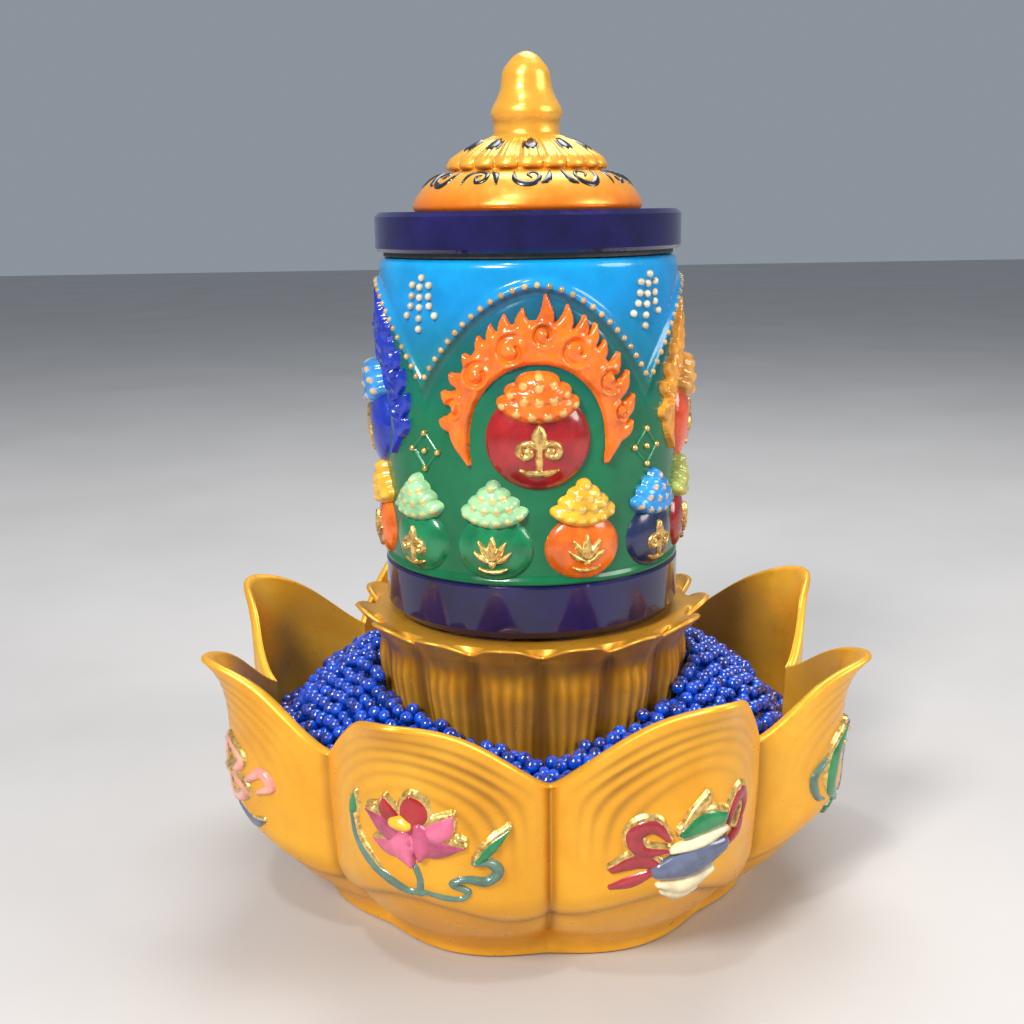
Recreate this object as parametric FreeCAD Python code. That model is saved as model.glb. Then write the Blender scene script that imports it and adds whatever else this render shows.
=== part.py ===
import FreeCAD, Part
import math
import os

# A table-top prayer wheel: a painted drum that is turned by hand on a fixed spindle,
# standing on a small lotus pedestal inside a wide eight-petal lotus bowl of glass beads.
# Millimetres, +Z up, origin at the centre of the felt under the foot. A petal valley and
# the main jar of the drum face -Y.

# ---------------------------------------------------------------- driving dimensions
TAU = 2.0 * math.pi

PETALS = 8                    # petals of the outer bowl
PEDESTAL_LOBES = 15           # petals of the inner pedestal
BIG_JARS = 4                  # large treasure jars round the drum
SMALL_JARS = 11               # small treasure jars under them

FOOT_Z = 0.5                  # underside of the bowl casting
FELT_R = 55.0
FELT_T = 1.5                  # felt stands 0.5 mm proud of the foot
FLOOR_Z = 18.0                # inside floor of the bowl
BOWL_WALL = 3.4
RIM_ROUND = 1.3               # half thickness left where the petal edge rounds over
TIP_R = 93.8
TIP_Z = 73.5
FLANK_R = 87.5                # radius past which only the tip itself curls outward
TIP_SHARPNESS = 4.0
FLOOR_R = 60.0
PETAL_SAMPLES = 10            # points along the edge of one petal

# outer profile of the bowl (radius, height) up the middle of a petal and up a valley,
# with the same number of stations in each
CENTRE_PROFILE = [(60.5, FOOT_Z), (61.5, 3.0), (66.0, 7.0), (74.0, 13.5), (80.5, 22.0),
                  (84.8, 31.0), (86.8, 41.0), (87.0, 51.0), (87.6, 60.0), (89.6, 67.5),
                  (TIP_R, TIP_Z)]
VALLEY_PROFILE = [(57.5, FOOT_Z), (58.5, 2.8), (61.5, 6.0), (67.5, 11.0), (72.0, 17.0),
                  (75.0, 23.5), (76.8, 30.5), (77.6, 37.5), (78.0, 44.0), (78.1, 49.5),
                  (78.2, 54.0)]

RIM_STATION = len(CENTRE_PROFILE) - 1
FLOOR_STATION = 4             # stations above this one also shape the inside

PEDESTAL_TOP = 76.5           # flat face under the drum
PEDESTAL_PROFILE = [(37.6, FLOOR_Z), (38.2, 30.0), (39.8, 42.0), (42.0, 55.0),
                    (44.2, 68.0), (46.2, 74.0), (48.2, 77.6)]
PEDESTAL_SCALLOP = 1.0        # depth of the grooves between its petals
PEDESTAL_FLAT_R = 43.0
PEDESTAL_CAVITY_R = 27.0
PEDESTAL_CAVITY_TOP = 60.0

BEAD_FRONT_Z = 50.0           # bead level against the pedestal, front and back
BEAD_BACK_Z = 66.0
BEAD_SLOPE = 0.17             # fall of the heap per mm of radius
BEAD_TILT_SHARE = 0.75        # part of the front-to-back difference made by tilting the heap
BEAD_FREEBOARD = 2.0          # heap stays this far under the petal valleys
BACK_SLOPE = 0.40
BEAD_GAP = 0.5
WALL_GAP = 4.2                # heap to the bowl's inner wall, which bows between its rings
PEDESTAL_GAP = 1.2            # heap to the pedestal

SPINDLE_R = 4.0
SPINDLE_FOOT_Z = 2.4
SPINDLE_TOP_Z = 162.0
FLANGE_R = 12.0
FLANGE_T = 3.0
NUT_FLATS = 13.0              # M8 hexagon across flats
NUT_T = 6.0
WASHER_R = 12.0
WASHER_T = 1.6
RECESS_R = 16.0               # pocket in the underside of the bowl for nut and washer
RECESS_TOP = 10.0

BEARING_Z = 85.5              # centre of the ball bearing, 8 x 22 x 7
BEARING_W = 7.0
BEARING_R = 11.0
BALL_R = 1.95
BALLS = 7
PITCH_R = 7.5
GROOVE_R = 2.02
INNER_LAND_R = 6.2
OUTER_LAND_R = 8.8
LOCK_NUT_T = 3.6

DRUM_BOTTOM = 77.9            # underside of the navy base ring
BAND_TOP = 92.0
BAND_R = 40.4
BAND_FLOOR = 84.0
BAND_BORE_R = 34.5
BOSS_R = 22.0
SPIGOT_TOP = 96.0

SLEEVE_R = 39.6
SLEEVE_BORE_R = 36.4
SLEEVE_TOP = 172.5
LIP_R = 40.2                  # small flare at the foot of the sleeve

HUB_R = 9.8
HUB_BORE_R = 8.2
HUB_TOP = 163.0
HUB_FLANGE_R = 20.0
HUB_FLANGE_T = 3.0
BUSH_L = 10.0
RUNNING_CLEARANCE = 0.05      # spindle in the upper bush
PRESS_GAP = 0.02              # bearing ring on the spindle
GLUE_GAP = 0.1                # glued or hand-pushed cylindrical joints inside one body

HUB_SCREWS = 3
HUB_SCREW_CIRCLE = 16.0
SCREW_R = 1.5
SCREW_HEAD_R = 3.0
SCREW_HEAD_T = 2.0

ROLL_BOTTOM = 97.2
ROLL_TOP = 150.0
ROLL_CORE_R = 11.4
ROLL_R = 31.0
RIBBON_T = 0.7
RIBBON_W = 6.0

LID_R = 40.5
LID_BOTTOM = 174.0
LID_TOP = 184.0
LID_SPIGOT_R = 36.0
LID_SPIGOT_BORE_R = 33.0
LID_SPIGOT_DEPTH = 5.0
LID_SCREW_R = 2.0
FINIAL_BASE_Z = LID_TOP + 18.8
TOTAL_HEIGHT = 224.0

# jar, flame and arch relief on the drum, heights of their middles and raised thickness
BIG_JAR_Z = 128.5
BIG_JAR_HALF = 13.2
BIG_JAR_RISE = 4.0
BIG_LID_Z = 139.5
SMALL_JAR_Z = 102.4
SMALL_JAR_HALF = 8.8
SMALL_JAR_RISE = 2.4
SMALL_LID_Z = 112.6
FLAME_R = 26.0
FLAME_INNER_R = 18.0
FLAME_RISE = 1.6
ARCH_RISE = 1.0


# ---------------------------------------------------------------- small helpers
def vec(x, y, z):
    return FreeCAD.Vector(x, y, z)


def tube(outer, inner, z0, z1):
    solid = Part.makeCylinder(outer, z1 - z0, vec(0, 0, z0))
    if inner > 0:
        solid = solid.cut(Part.makeCylinder(inner, z1 - z0, vec(0, 0, z0)))
    return solid


def lathe(points):
    """Solid of revolution about Z of a closed outline of (radius, height) points."""
    corners = [vec(r, 0, z) for r, z in points]
    face = Part.Face(Part.makePolygon(corners + [corners[0]]))
    return face.revolve(vec(0, 0, 0), vec(0, 0, 1), 360)


def smooth_lathe(points, base_z):
    """Solid of revolution under a smooth outline that ends on the axis."""
    curve = Part.BSplineCurve()
    curve.interpolate([vec(r, 0, z) for r, z in points])
    first = points[0]
    last = points[-1]
    edges = [curve.toShape(),
             Part.LineSegment(vec(last[0], 0, last[1]), vec(0, 0, base_z)).toShape(),
             Part.LineSegment(vec(0, 0, base_z), vec(first[0], 0, first[1])).toShape()]
    face = Part.Face(Part.Wire(edges))
    return face.revolve(vec(0, 0, 0), vec(0, 0, 1), 360)


def closed_curve(points):
    curve = Part.BSplineCurve()
    curve.interpolate(points, PeriodicFlag=True)
    return Part.Wire([curve.toShape()])


def hexagon(flats, thickness, z0, bore):
    corner = flats / math.sqrt(3.0)
    points = [vec(corner * math.cos(TAU * k / 6), corner * math.sin(TAU * k / 6), z0)
              for k in range(7)]
    prism = Part.Face(Part.makePolygon(points)).extrude(vec(0, 0, thickness))
    return prism.cut(Part.makeCylinder(bore, thickness, vec(0, 0, z0)))


def polar(radius, angle, z):
    """A point by its angle from the front (-Y) towards +X."""
    return vec(radius * math.sin(angle), -radius * math.cos(angle), z)


def spread(shape, count, offset=0.0):
    """Copies of a front-facing shape turned round Z."""
    copies = []
    for k in range(count):
        copy = shape.copy()
        copy.rotate(vec(0, 0, 0), vec(0, 0, 1), math.degrees(offset) + 360.0 * k / count)
        copies.append(copy)
    return copies


def save(name, shape):
    shape.exportStep("parts/" + name + ".step")
    print(name, "solids", len(shape.Solids), "valid", shape.isValid(),
          "volume", round(shape.Volume / 1000.0, 2), "cm3")


# ---------------------------------------------------------------- outer lotus bowl
def petal_weight(angle, fullness):
    """1 up the middle of a petal, 0 in a valley; valleys lie at angle 0."""
    across = 0.5 - 0.5 * math.cos(PETALS * angle)
    return across ** fullness


def bowl_station(angle, station, inset):
    """Point of the bowl's surface: station on the outer profile, moved in by inset."""
    rc, zc = CENTRE_PROFILE[station]
    rv, zv = VALLEY_PROFILE[station]
    side = petal_weight(angle, 0.7)
    middle = petal_weight(angle, TIP_SHARPNESS)
    flank_r = min(rc, FLANK_R)
    radius = rv + (flank_r - rv) * side + (rc - flank_r) * middle
    height = zv + (zc - zv) * petal_weight(angle, 0.6)
    lift = inset * 0.25 if station < RIM_STATION else -inset * 0.12
    return polar(radius - inset, angle, height + lift)


def petal_ring(station, inset):
    count = PETALS * PETAL_SAMPLES
    return closed_curve([bowl_station(TAU * k / count, station, inset) for k in range(count)])


def flat_ring(radius_of, z, count):
    return closed_curve([polar(radius_of(TAU * k / count), TAU * k / count, z)
                         for k in range(count)])


def bowl_inside():
    """Rings of the bowl's inner surface, from the petals down to the floor."""
    count = PETALS * PETAL_SAMPLES
    rings = [petal_ring(s, BOWL_WALL) for s in range(RIM_STATION - 1, FLOOR_STATION, -1)]
    rings.append(flat_ring(lambda a: FLOOR_R + 6.0 + 3.0 * petal_weight(a, 0.7),
                           FLOOR_Z + 2.5, count))
    rings.append(flat_ring(lambda a: FLOOR_R, FLOOR_Z, count))
    return rings


def lotus_bowl():
    outside = [petal_ring(s, 0.0) for s in range(RIM_STATION)]
    edge = [petal_ring(RIM_STATION, RIM_ROUND)]
    bowl = Part.makeLoft(outside + edge + bowl_inside(), True, False)
    bowl = bowl.cut(Part.makeCylinder(FELT_R + 0.3, FELT_T, vec(0, 0, 0)))
    bowl = bowl.cut(Part.makeCylinder(RECESS_R, RECESS_TOP, vec(0, 0, 0)))
    return bowl.cut(Part.makeCylinder(SPINDLE_R + GLUE_GAP, FLOOR_Z + 1, vec(0, 0, 0)))


# ---------------------------------------------------------------- inner pedestal and beads
def lobe_wave(angle):
    """0 on the ridge of a pedestal petal, 1 in the groove between two."""
    return (0.5 + 0.5 * math.cos(PEDESTAL_LOBES * angle)) ** 2


def pedestal_ring(radius, z, grow=0.0):
    depth = PEDESTAL_SCALLOP * (0.4 + 0.6 * (z - FLOOR_Z) / (PEDESTAL_TOP - FLOOR_Z))
    return flat_ring(lambda a: radius + grow - depth * lobe_wave(a), z, PEDESTAL_LOBES * 6)


def pedestal_rim(radius, z):
    """Edge of the petal tips: lower and further in at each groove."""
    count = PEDESTAL_LOBES * 6
    points = []
    for k in range(count):
        a = TAU * k / count
        w = lobe_wave(a)
        points.append(polar(radius - 1.6 * w, a, z - 1.8 * w))
    return closed_curve(points)


def lotus_pedestal():
    tip_r, tip_z = PEDESTAL_PROFILE[-1]
    rings = [pedestal_ring(r, z) for r, z in PEDESTAL_PROFILE[:-1]]
    rings.append(pedestal_rim(tip_r, tip_z - 0.6))
    rings.append(pedestal_rim(tip_r - 1.5, tip_z - 0.2))
    rings.append(flat_ring(lambda a: PEDESTAL_FLAT_R, PEDESTAL_TOP, PEDESTAL_LOBES * 6))
    body = Part.makeLoft(rings, True, True)
    cavity = lathe([(0, FLOOR_Z - 1), (PEDESTAL_CAVITY_R, FLOOR_Z - 1),
                    (PEDESTAL_CAVITY_R, PEDESTAL_CAVITY_TOP - 8),
                    (PEDESTAL_CAVITY_R - 8, PEDESTAL_CAVITY_TOP), (0, PEDESTAL_CAVITY_TOP)])
    body = body.cut(cavity)
    body = body.cut(Part.makeCylinder(FLANGE_R + GLUE_GAP, FLANGE_T + 5,
                                      vec(0, 0, PEDESTAL_TOP - FLANGE_T)))
    return body.cut(Part.makeCylinder(SPINDLE_R + GLUE_GAP, PEDESTAL_TOP))


def trough_radius(angle, z):
    """Radius of the bowl's inner surface at a height, constant above the petal edge."""
    wall = [bowl_station(angle, s, BOWL_WALL) for s in range(FLOOR_STATION + 1, RIM_STATION)]
    side = [(FLOOR_R, FLOOR_Z), (FLOOR_R + 6.0, FLOOR_Z + 2.5)]
    side += [(math.hypot(p.x, p.y), p.z) for p in wall]
    for (r0, z0), (r1, z1) in zip(side, side[1:]):
        if z <= z1:
            return r0 + (r1 - r0) * (z - z0) / (z1 - z0)
    return side[-1][0]


def cone_heap(rim_r, rim_z, slope):
    """Everything under a cone that passes a given circle and rises towards the axis."""
    reach = TIP_R + 10.0
    return lathe([(0, -FLOOR_Z), (reach, -FLOOR_Z), (reach, rim_z - slope * (reach - rim_r)),
                  (0, rim_z + slope * rim_r)])


def glass_beads():
    """One closed heap for the loose beads: highest at the back, kept below the valleys."""
    levels = [FLOOR_Z + BEAD_GAP, 23.0, 27.0, 32.0, 40.0, 48.0, 56.0, BEAD_BACK_Z]
    rings = []
    for z in levels:
        rings.append(flat_ring(lambda a: trough_radius(a, z - WALL_GAP) - WALL_GAP, z,
                               PETALS * PETAL_SAMPLES))
    heap = Part.makeLoft(rings, True, True)
    middle = 0.5 * (BEAD_FRONT_Z + BEAD_BACK_Z)
    near = PEDESTAL_PROFILE[3][0]
    tilted = cone_heap(near, middle, BEAD_SLOPE)
    tilt = math.degrees(math.atan((BEAD_BACK_Z - BEAD_FRONT_Z) / (2.0 * near)))
    tilted.rotate(vec(0, 0, middle), vec(1, 0, 0), tilt * BEAD_TILT_SHARE)
    valley_r, valley_z = VALLEY_PROFILE[-1]
    heap = heap.common(tilted)
    heap = heap.common(cone_heap(valley_r, valley_z - BEAD_FREEBOARD, BACK_SLOPE))
    core = [(r + PEDESTAL_GAP, z) for r, z in PEDESTAL_PROFILE[:-1]]
    below = FLOOR_Z - 1.0
    hole = lathe([(0, below), (core[0][0], below)] + core + [(0, core[-1][1])])
    return heap.cut(hole)


# ---------------------------------------------------------------- spindle and its fixings
def spindle():
    shaft = Part.makeCylinder(SPINDLE_R, SPINDLE_TOP_Z - SPINDLE_FOOT_Z - 2.0,
                              vec(0, 0, SPINDLE_FOOT_Z))
    nose = lathe([(0, SPINDLE_TOP_Z - 2.0), (SPINDLE_R, SPINDLE_TOP_Z - 2.0),
                  (SPINDLE_R - 1.5, SPINDLE_TOP_Z - 0.4), (SPINDLE_R - 2.5, SPINDLE_TOP_Z),
                  (0, SPINDLE_TOP_Z)])
    flange = Part.makeCylinder(FLANGE_R, FLANGE_T, vec(0, 0, PEDESTAL_TOP - FLANGE_T))
    return shaft.fuse(nose).fuse(flange).removeSplitter()


def base_washer():
    return tube(WASHER_R, SPINDLE_R + GLUE_GAP, RECESS_TOP - WASHER_T, RECESS_TOP)


def base_nut():
    top = RECESS_TOP - WASHER_T
    return hexagon(NUT_FLATS, NUT_T, top - NUT_T, SPINDLE_R + GLUE_GAP)


def felt_pad():
    return tube(FELT_R, 0, 0.0, FELT_T)


# ---------------------------------------------------------------- ball bearing
BEARING_LOW = BEARING_Z - BEARING_W / 2
BEARING_HIGH = BEARING_Z + BEARING_W / 2


def groove():
    return Part.makeTorus(PITCH_R, GROOVE_R, vec(0, 0, BEARING_Z))


def bearing_inner_ring():
    return tube(INNER_LAND_R, SPINDLE_R + PRESS_GAP, BEARING_LOW, BEARING_HIGH).cut(groove())


def bearing_outer_ring():
    return tube(BEARING_R, OUTER_LAND_R, BEARING_LOW, BEARING_HIGH).cut(groove())


def bearing_balls():
    return Part.makeCompound([Part.makeSphere(BALL_R, polar(PITCH_R, TAU * k / BALLS, BEARING_Z))
                              for k in range(BALLS)])


def bearing_cage():
    band = tube(PITCH_R + 0.8, PITCH_R - 0.8, BEARING_Z - 1.3, BEARING_Z + 1.3)
    for k in range(BALLS):
        band = band.cut(Part.makeSphere(BALL_R + 0.12, polar(PITCH_R, TAU * k / BALLS, BEARING_Z)))
    rim = tube(PITCH_R + 0.8, PITCH_R - 0.8, BEARING_Z + 2.05, BEARING_Z + 2.5)
    post = tube(PITCH_R + 0.8, PITCH_R - 0.8, BEARING_Z + 0.6, BEARING_Z + 2.1)
    for k in range(BALLS):
        post = post.cut(Part.makeSphere(BALL_R + 0.12, polar(PITCH_R, TAU * k / BALLS, BEARING_Z)))
    return band.fuse(post).fuse(rim).removeSplitter()


def bearing_shields():
    low = tube(OUTER_LAND_R, INNER_LAND_R + 0.25, BEARING_LOW + 0.1, BEARING_LOW + 0.4)
    high = tube(OUTER_LAND_R, INNER_LAND_R + 0.25, BEARING_HIGH - 0.4, BEARING_HIGH - 0.1)
    return Part.makeCompound([low, high])


def bearing_spacer():
    return tube(INNER_LAND_R - 0.2, SPINDLE_R + GLUE_GAP, PEDESTAL_TOP, BEARING_LOW)


def bearing_nut():
    return hexagon(NUT_FLATS, LOCK_NUT_T, BEARING_HIGH, SPINDLE_R + GLUE_GAP)


# ---------------------------------------------------------------- drum
def drum_base():
    """Navy ring with a floor; the bearing goes in from below against a lip."""
    outline = [(BEARING_R, DRUM_BOTTOM), (BAND_R - 1.6, DRUM_BOTTOM), (BAND_R, DRUM_BOTTOM + 2.0),
               (BAND_R, BAND_TOP - 0.8), (BAND_R - 0.8, BAND_TOP),
               (SLEEVE_BORE_R - GLUE_GAP, BAND_TOP), (SLEEVE_BORE_R - GLUE_GAP, SPIGOT_TOP),
               (BAND_BORE_R, SPIGOT_TOP), (BAND_BORE_R, BAND_FLOOR), (BOSS_R, BAND_FLOOR),
               (BOSS_R, BAND_TOP), (OUTER_LAND_R + 0.4, BAND_TOP),
               (OUTER_LAND_R + 0.4, BEARING_HIGH), (BEARING_R, BEARING_HIGH)]
    ring_body = lathe(outline)
    hole = Part.makeCylinder(SCREW_R, 8.0, polar(HUB_SCREW_CIRCLE, 0, BAND_TOP - 8.0))
    for cutter in spread(hole, HUB_SCREWS):
        ring_body = ring_body.cut(cutter)
    return ring_body


def hub_tube():
    body = tube(HUB_R, HUB_BORE_R, BAND_TOP, HUB_TOP)
    flange = tube(HUB_FLANGE_R, HUB_BORE_R, BAND_TOP, BAND_TOP + HUB_FLANGE_T)
    body = body.fuse(flange).removeSplitter()
    hole = Part.makeCylinder(SCREW_R, HUB_FLANGE_T, polar(HUB_SCREW_CIRCLE, 0, BAND_TOP))
    for cutter in spread(hole, HUB_SCREWS):
        body = body.cut(cutter)
    return body


def hub_screws():
    shank = Part.makeCylinder(SCREW_R, 9.0, polar(HUB_SCREW_CIRCLE, 0, BAND_TOP - 6.0))
    head_z = BAND_TOP + HUB_FLANGE_T
    head = Part.makeCylinder(SCREW_HEAD_R, SCREW_HEAD_T, polar(HUB_SCREW_CIRCLE, 0, head_z))
    slot = Part.makeBox(0.8, 2 * SCREW_HEAD_R, 0.9,
                        vec(-0.4, -HUB_SCREW_CIRCLE - SCREW_HEAD_R, head_z + SCREW_HEAD_T - 0.9))
    screw = shank.fuse(head).cut(slot)
    return Part.makeCompound(spread(screw, HUB_SCREWS))


def upper_bush():
    return tube(HUB_BORE_R, SPINDLE_R + RUNNING_CLEARANCE, HUB_TOP - BUSH_L, HUB_TOP)


def roll_core():
    return tube(ROLL_CORE_R, HUB_R + 0.4, ROLL_BOTTOM, ROLL_TOP)


def paper_roll():
    return tube(ROLL_R, ROLL_CORE_R, ROLL_BOTTOM, ROLL_TOP)


def roll_ribbons():
    bands = [tube(ROLL_R + RIBBON_T, ROLL_R, z - RIBBON_W / 2, z + RIBBON_W / 2)
             for z in (ROLL_BOTTOM + 11.0, ROLL_TOP - 11.0)]
    return Part.makeCompound(bands)


def bump(half, rise, z):
    """Domed round boss on the front of the drum, sunk a little into its wall."""
    sink = 2.2
    ball_r = (half * half + rise * rise) / (2.0 * rise)
    centre = vec(0, -(SLEEVE_R + rise - ball_r), z)
    ball = Part.makeSphere(ball_r, centre)
    plug = Part.makeCylinder(half, rise + sink + 1.0, vec(0, -SLEEVE_R + sink, z), vec(0, -1, 0))
    return ball.common(plug)


def jar(half, rise, z, lid_z):
    """A round treasure jar with a low three-step lid."""
    body = bump(half, rise, z)
    depth = rise + 1.2
    steps = [(half * 0.62, lid_z - half * 0.30), (half * 0.46, lid_z),
             (half * 0.24, lid_z + half * 0.24)]
    for width, step_z in steps:
        step = Part.makeCylinder(half * 0.28, 2 * width, vec(-width, -SLEEVE_R, step_z),
                                 vec(1, 0, 0))
        limit = Part.makeCylinder(SLEEVE_R + depth, 60, vec(0, 0, step_z - 30))
        body = body.fuse(step.common(limit))
    return body


def flame():
    """Raised horseshoe of flame round the upper half of a big jar."""
    centre_z = BIG_JAR_Z + 5.0
    plate = Part.makeCylinder(FLAME_R, 20, vec(0, -30, centre_z), vec(0, -1, 0))
    gap = Part.makeCylinder(FLAME_INNER_R, 20, vec(0, -30, centre_z - 2), vec(0, -1, 0))
    below = Part.makeBox(80, 30, 60, vec(-40, -55, centre_z - 72))
    wall = tube(SLEEVE_R + FLAME_RISE, SLEEVE_R - 1.0, centre_z - 35, centre_z + 35)
    return plate.cut(gap).cut(below).common(wall)


def arch():
    """Raised ridge over the flame, falling to a point between two panels."""
    points = [polar(SLEEVE_R + 0.2, math.radians(a), z)
              for a, z in ((-44, 144.8), (-33, 153), (-20, 162), (0, 166.4),
                           (20, 162), (33, 153), (44, 144.8))]
    curve = Part.BSplineCurve()
    curve.interpolate(points)
    path = Part.Wire([curve.toShape()])
    start = points[0]
    circle = Part.Wire([Part.makeCircle(ARCH_RISE, start, points[1].sub(start))])
    return path.makePipeShell([circle], True, True)


def drum_sleeve():
    outline = [(SLEEVE_BORE_R, BAND_TOP), (LIP_R, BAND_TOP), (LIP_R, BAND_TOP + 1.0),
               (SLEEVE_R, BAND_TOP + 2.6), (SLEEVE_R, SLEEVE_TOP - 1.8),
               (SLEEVE_R - 0.5, SLEEVE_TOP - 0.6), (SLEEVE_R - 1.6, SLEEVE_TOP),
               (SLEEVE_BORE_R, SLEEVE_TOP)]
    shell = lathe(outline)
    relief = []
    relief += spread(jar(BIG_JAR_HALF, BIG_JAR_RISE, BIG_JAR_Z, BIG_LID_Z), BIG_JARS)
    relief += spread(jar(SMALL_JAR_HALF, SMALL_JAR_RISE, SMALL_JAR_Z, SMALL_LID_Z), SMALL_JARS,
                     TAU / SMALL_JARS / 2)
    relief += spread(flame(), BIG_JARS)
    relief += spread(arch(), BIG_JARS)
    for piece in relief:
        shell = shell.fuse(piece)
    keep = Part.makeCylinder(SLEEVE_BORE_R, 200)
    return shell.cut(keep).removeSplitter()


# ---------------------------------------------------------------- lid
def lid_disc():
    bore = LID_SCREW_R + GLUE_GAP
    outline = [(bore, LID_BOTTOM), (LID_SPIGOT_BORE_R, LID_BOTTOM),
               (LID_SPIGOT_BORE_R, LID_BOTTOM - LID_SPIGOT_DEPTH),
               (LID_SPIGOT_R, LID_BOTTOM - LID_SPIGOT_DEPTH), (LID_SPIGOT_R, LID_BOTTOM),
               (LID_R - 0.9, LID_BOTTOM), (LID_R, LID_BOTTOM + 0.9), (LID_R, LID_TOP - 1.2),
               (LID_R - 1.2, LID_TOP), (bore, LID_TOP)]
    return lathe(outline)


def lid_gasket():
    return tube(SLEEVE_R - 1.2, LID_SPIGOT_R + GLUE_GAP, SLEEVE_TOP + 0.3, LID_BOTTOM)


def dome():
    bore = LID_SCREW_R + GLUE_GAP
    z = LID_TOP
    outline = [(bore, z), (30.0, z), (30.4, z + 1.2), (29.9, z + 2.6), (28.4, z + 5.0),
               (26.8, z + 7.5), (24.6, z + 9.3), (23.0, z + 9.8), (20.6, z + 10.4),
               (20.8, z + 11.8), (19.3, z + 13.6), (17.6, z + 14.6), (14.7, z + 16.6),
               (11.0, z + 18.2), (9.6, z + 18.8), (bore, z + 18.8)]
    return lathe(outline)


def finial():
    z = LID_TOP
    outline = [(8.6, z + 18.8), (8.0, z + 20.4), (8.3, z + 22.2), (9.2, z + 24.6),
               (8.8, z + 26.6), (7.7, z + 29.2), (6.8, z + 31.8), (6.0, z + 35.0),
               (5.4, z + 37.2), (3.4, z + 39.2), (0, TOTAL_HEIGHT)]
    body = smooth_lathe(outline, FINIAL_BASE_Z)
    return body.cut(Part.makeCylinder(LID_SCREW_R, 8.0, vec(0, 0, FINIAL_BASE_Z)))


def lid_washer():
    return tube(6.0, LID_SCREW_R + GLUE_GAP, LID_BOTTOM - 1.0, LID_BOTTOM)


def lid_screw():
    shank = Part.makeCylinder(LID_SCREW_R, FINIAL_BASE_Z + 7.5 - (LID_BOTTOM - 1.0),
                              vec(0, 0, LID_BOTTOM - 1.0))
    head = Part.makeCylinder(4.0, 2.6, vec(0, 0, LID_BOTTOM - 3.6))
    slot = Part.makeBox(1.0, 8.0, 1.0, vec(-0.5, -4.0, LID_BOTTOM - 3.6))
    return shank.fuse(head).cut(slot).removeSplitter()


def main():
    os.makedirs("parts", exist_ok=True)
    for make in (lotus_bowl, lotus_pedestal, glass_beads, felt_pad, spindle, base_washer,
                 base_nut, bearing_spacer, bearing_inner_ring, bearing_nut, bearing_balls,
                 bearing_cage, bearing_outer_ring, bearing_shields, drum_base, hub_tube,
                 hub_screws, upper_bush, roll_core, paper_roll, roll_ribbons, drum_sleeve,
                 lid_disc, lid_gasket, dome, finial, lid_washer, lid_screw):
        save(make.__name__, make())


main()
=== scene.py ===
import math

import bpy
import numpy as np
from mathutils import Matrix, Vector


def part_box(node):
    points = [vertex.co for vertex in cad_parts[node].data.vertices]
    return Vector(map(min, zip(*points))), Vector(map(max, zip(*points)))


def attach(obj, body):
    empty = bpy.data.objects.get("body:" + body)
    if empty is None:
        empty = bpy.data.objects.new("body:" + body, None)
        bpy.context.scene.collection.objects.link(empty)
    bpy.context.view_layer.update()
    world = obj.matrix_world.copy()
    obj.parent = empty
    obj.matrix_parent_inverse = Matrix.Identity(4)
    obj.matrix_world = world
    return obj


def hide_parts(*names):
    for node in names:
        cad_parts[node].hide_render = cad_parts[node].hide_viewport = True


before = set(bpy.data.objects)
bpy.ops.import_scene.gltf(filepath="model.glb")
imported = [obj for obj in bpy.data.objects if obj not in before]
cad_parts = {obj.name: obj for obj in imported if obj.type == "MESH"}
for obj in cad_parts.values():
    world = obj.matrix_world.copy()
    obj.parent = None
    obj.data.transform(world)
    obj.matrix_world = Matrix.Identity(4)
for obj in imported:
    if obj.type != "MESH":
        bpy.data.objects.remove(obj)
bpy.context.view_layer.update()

# Shapes below are worked out in millimetres, in the frame of the CAD model, and scaled
# to metres when a mesh is made. Angles round the spindle run from the front (-Y) towards +X.
MM = 0.001
TAU = 2.0 * math.pi
rng = np.random.default_rng(11)


def node_box(name):
    lo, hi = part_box(name)
    return np.array(lo) / MM, np.array(hi) / MM


SLEEVE_LO, SLEEVE_HI = node_box("drum_sleeve")

DRUM_R = 39.6                # painted wall of the drum, without its relief
LID_TOP = node_box("lid_disc")[1][2]


# ---------------------------------------------------------------- mesh helpers
def make_object(name, points, faces, material, body, smooth=True):
    mesh = bpy.data.meshes.new(name)
    faces = faces.tolist() if isinstance(faces, np.ndarray) else faces
    mesh.from_pydata((np.asarray(points) * MM).tolist(), [], faces)
    mesh.validate()
    mesh.update()
    if smooth:
        mesh.polygons.foreach_set("use_smooth", np.ones(len(mesh.polygons), dtype=bool))
    obj = bpy.data.objects.new(name, mesh)
    bpy.context.scene.collection.objects.link(obj)
    obj.data.materials.append(material)
    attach(obj, body)
    return obj


def tint(obj, values, name="tint"):
    """Stores one number per vertex, which the paint materials read."""
    layer = obj.data.attributes.new(name, "FLOAT", "POINT")
    layer.data.foreach_set("value", np.asarray(values, dtype=np.float32).ravel())


def grid_faces(rows, columns, closed=False):
    """Quads of a ring-shaped grid of vertices; closed also joins the last row to the first."""
    r, c = np.meshgrid(np.arange(rows if closed else rows - 1), np.arange(columns), indexing="ij")
    n = (c + 1) % columns
    above = (r + 1) % rows
    return np.stack([r * columns + c, r * columns + n,
                     above * columns + n, above * columns + c], axis=-1).reshape(-1, 4)


def turn_angles(segments):
    """One row of angles round the spindle."""
    return (np.arange(segments) * TAU / segments)[None, :]


def rings(outline, angles):
    """Radius and height of every point of an outline, repeated at every angle."""
    return outline[:, 0][:, None] + 0 * angles, outline[:, 1][:, None] + 0 * angles


def polar(radius, angle, z):
    radius, angle, z = np.broadcast_arrays(radius, angle, z)
    return np.stack([radius * np.sin(angle), -radius * np.cos(angle), z], axis=-1)


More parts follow.
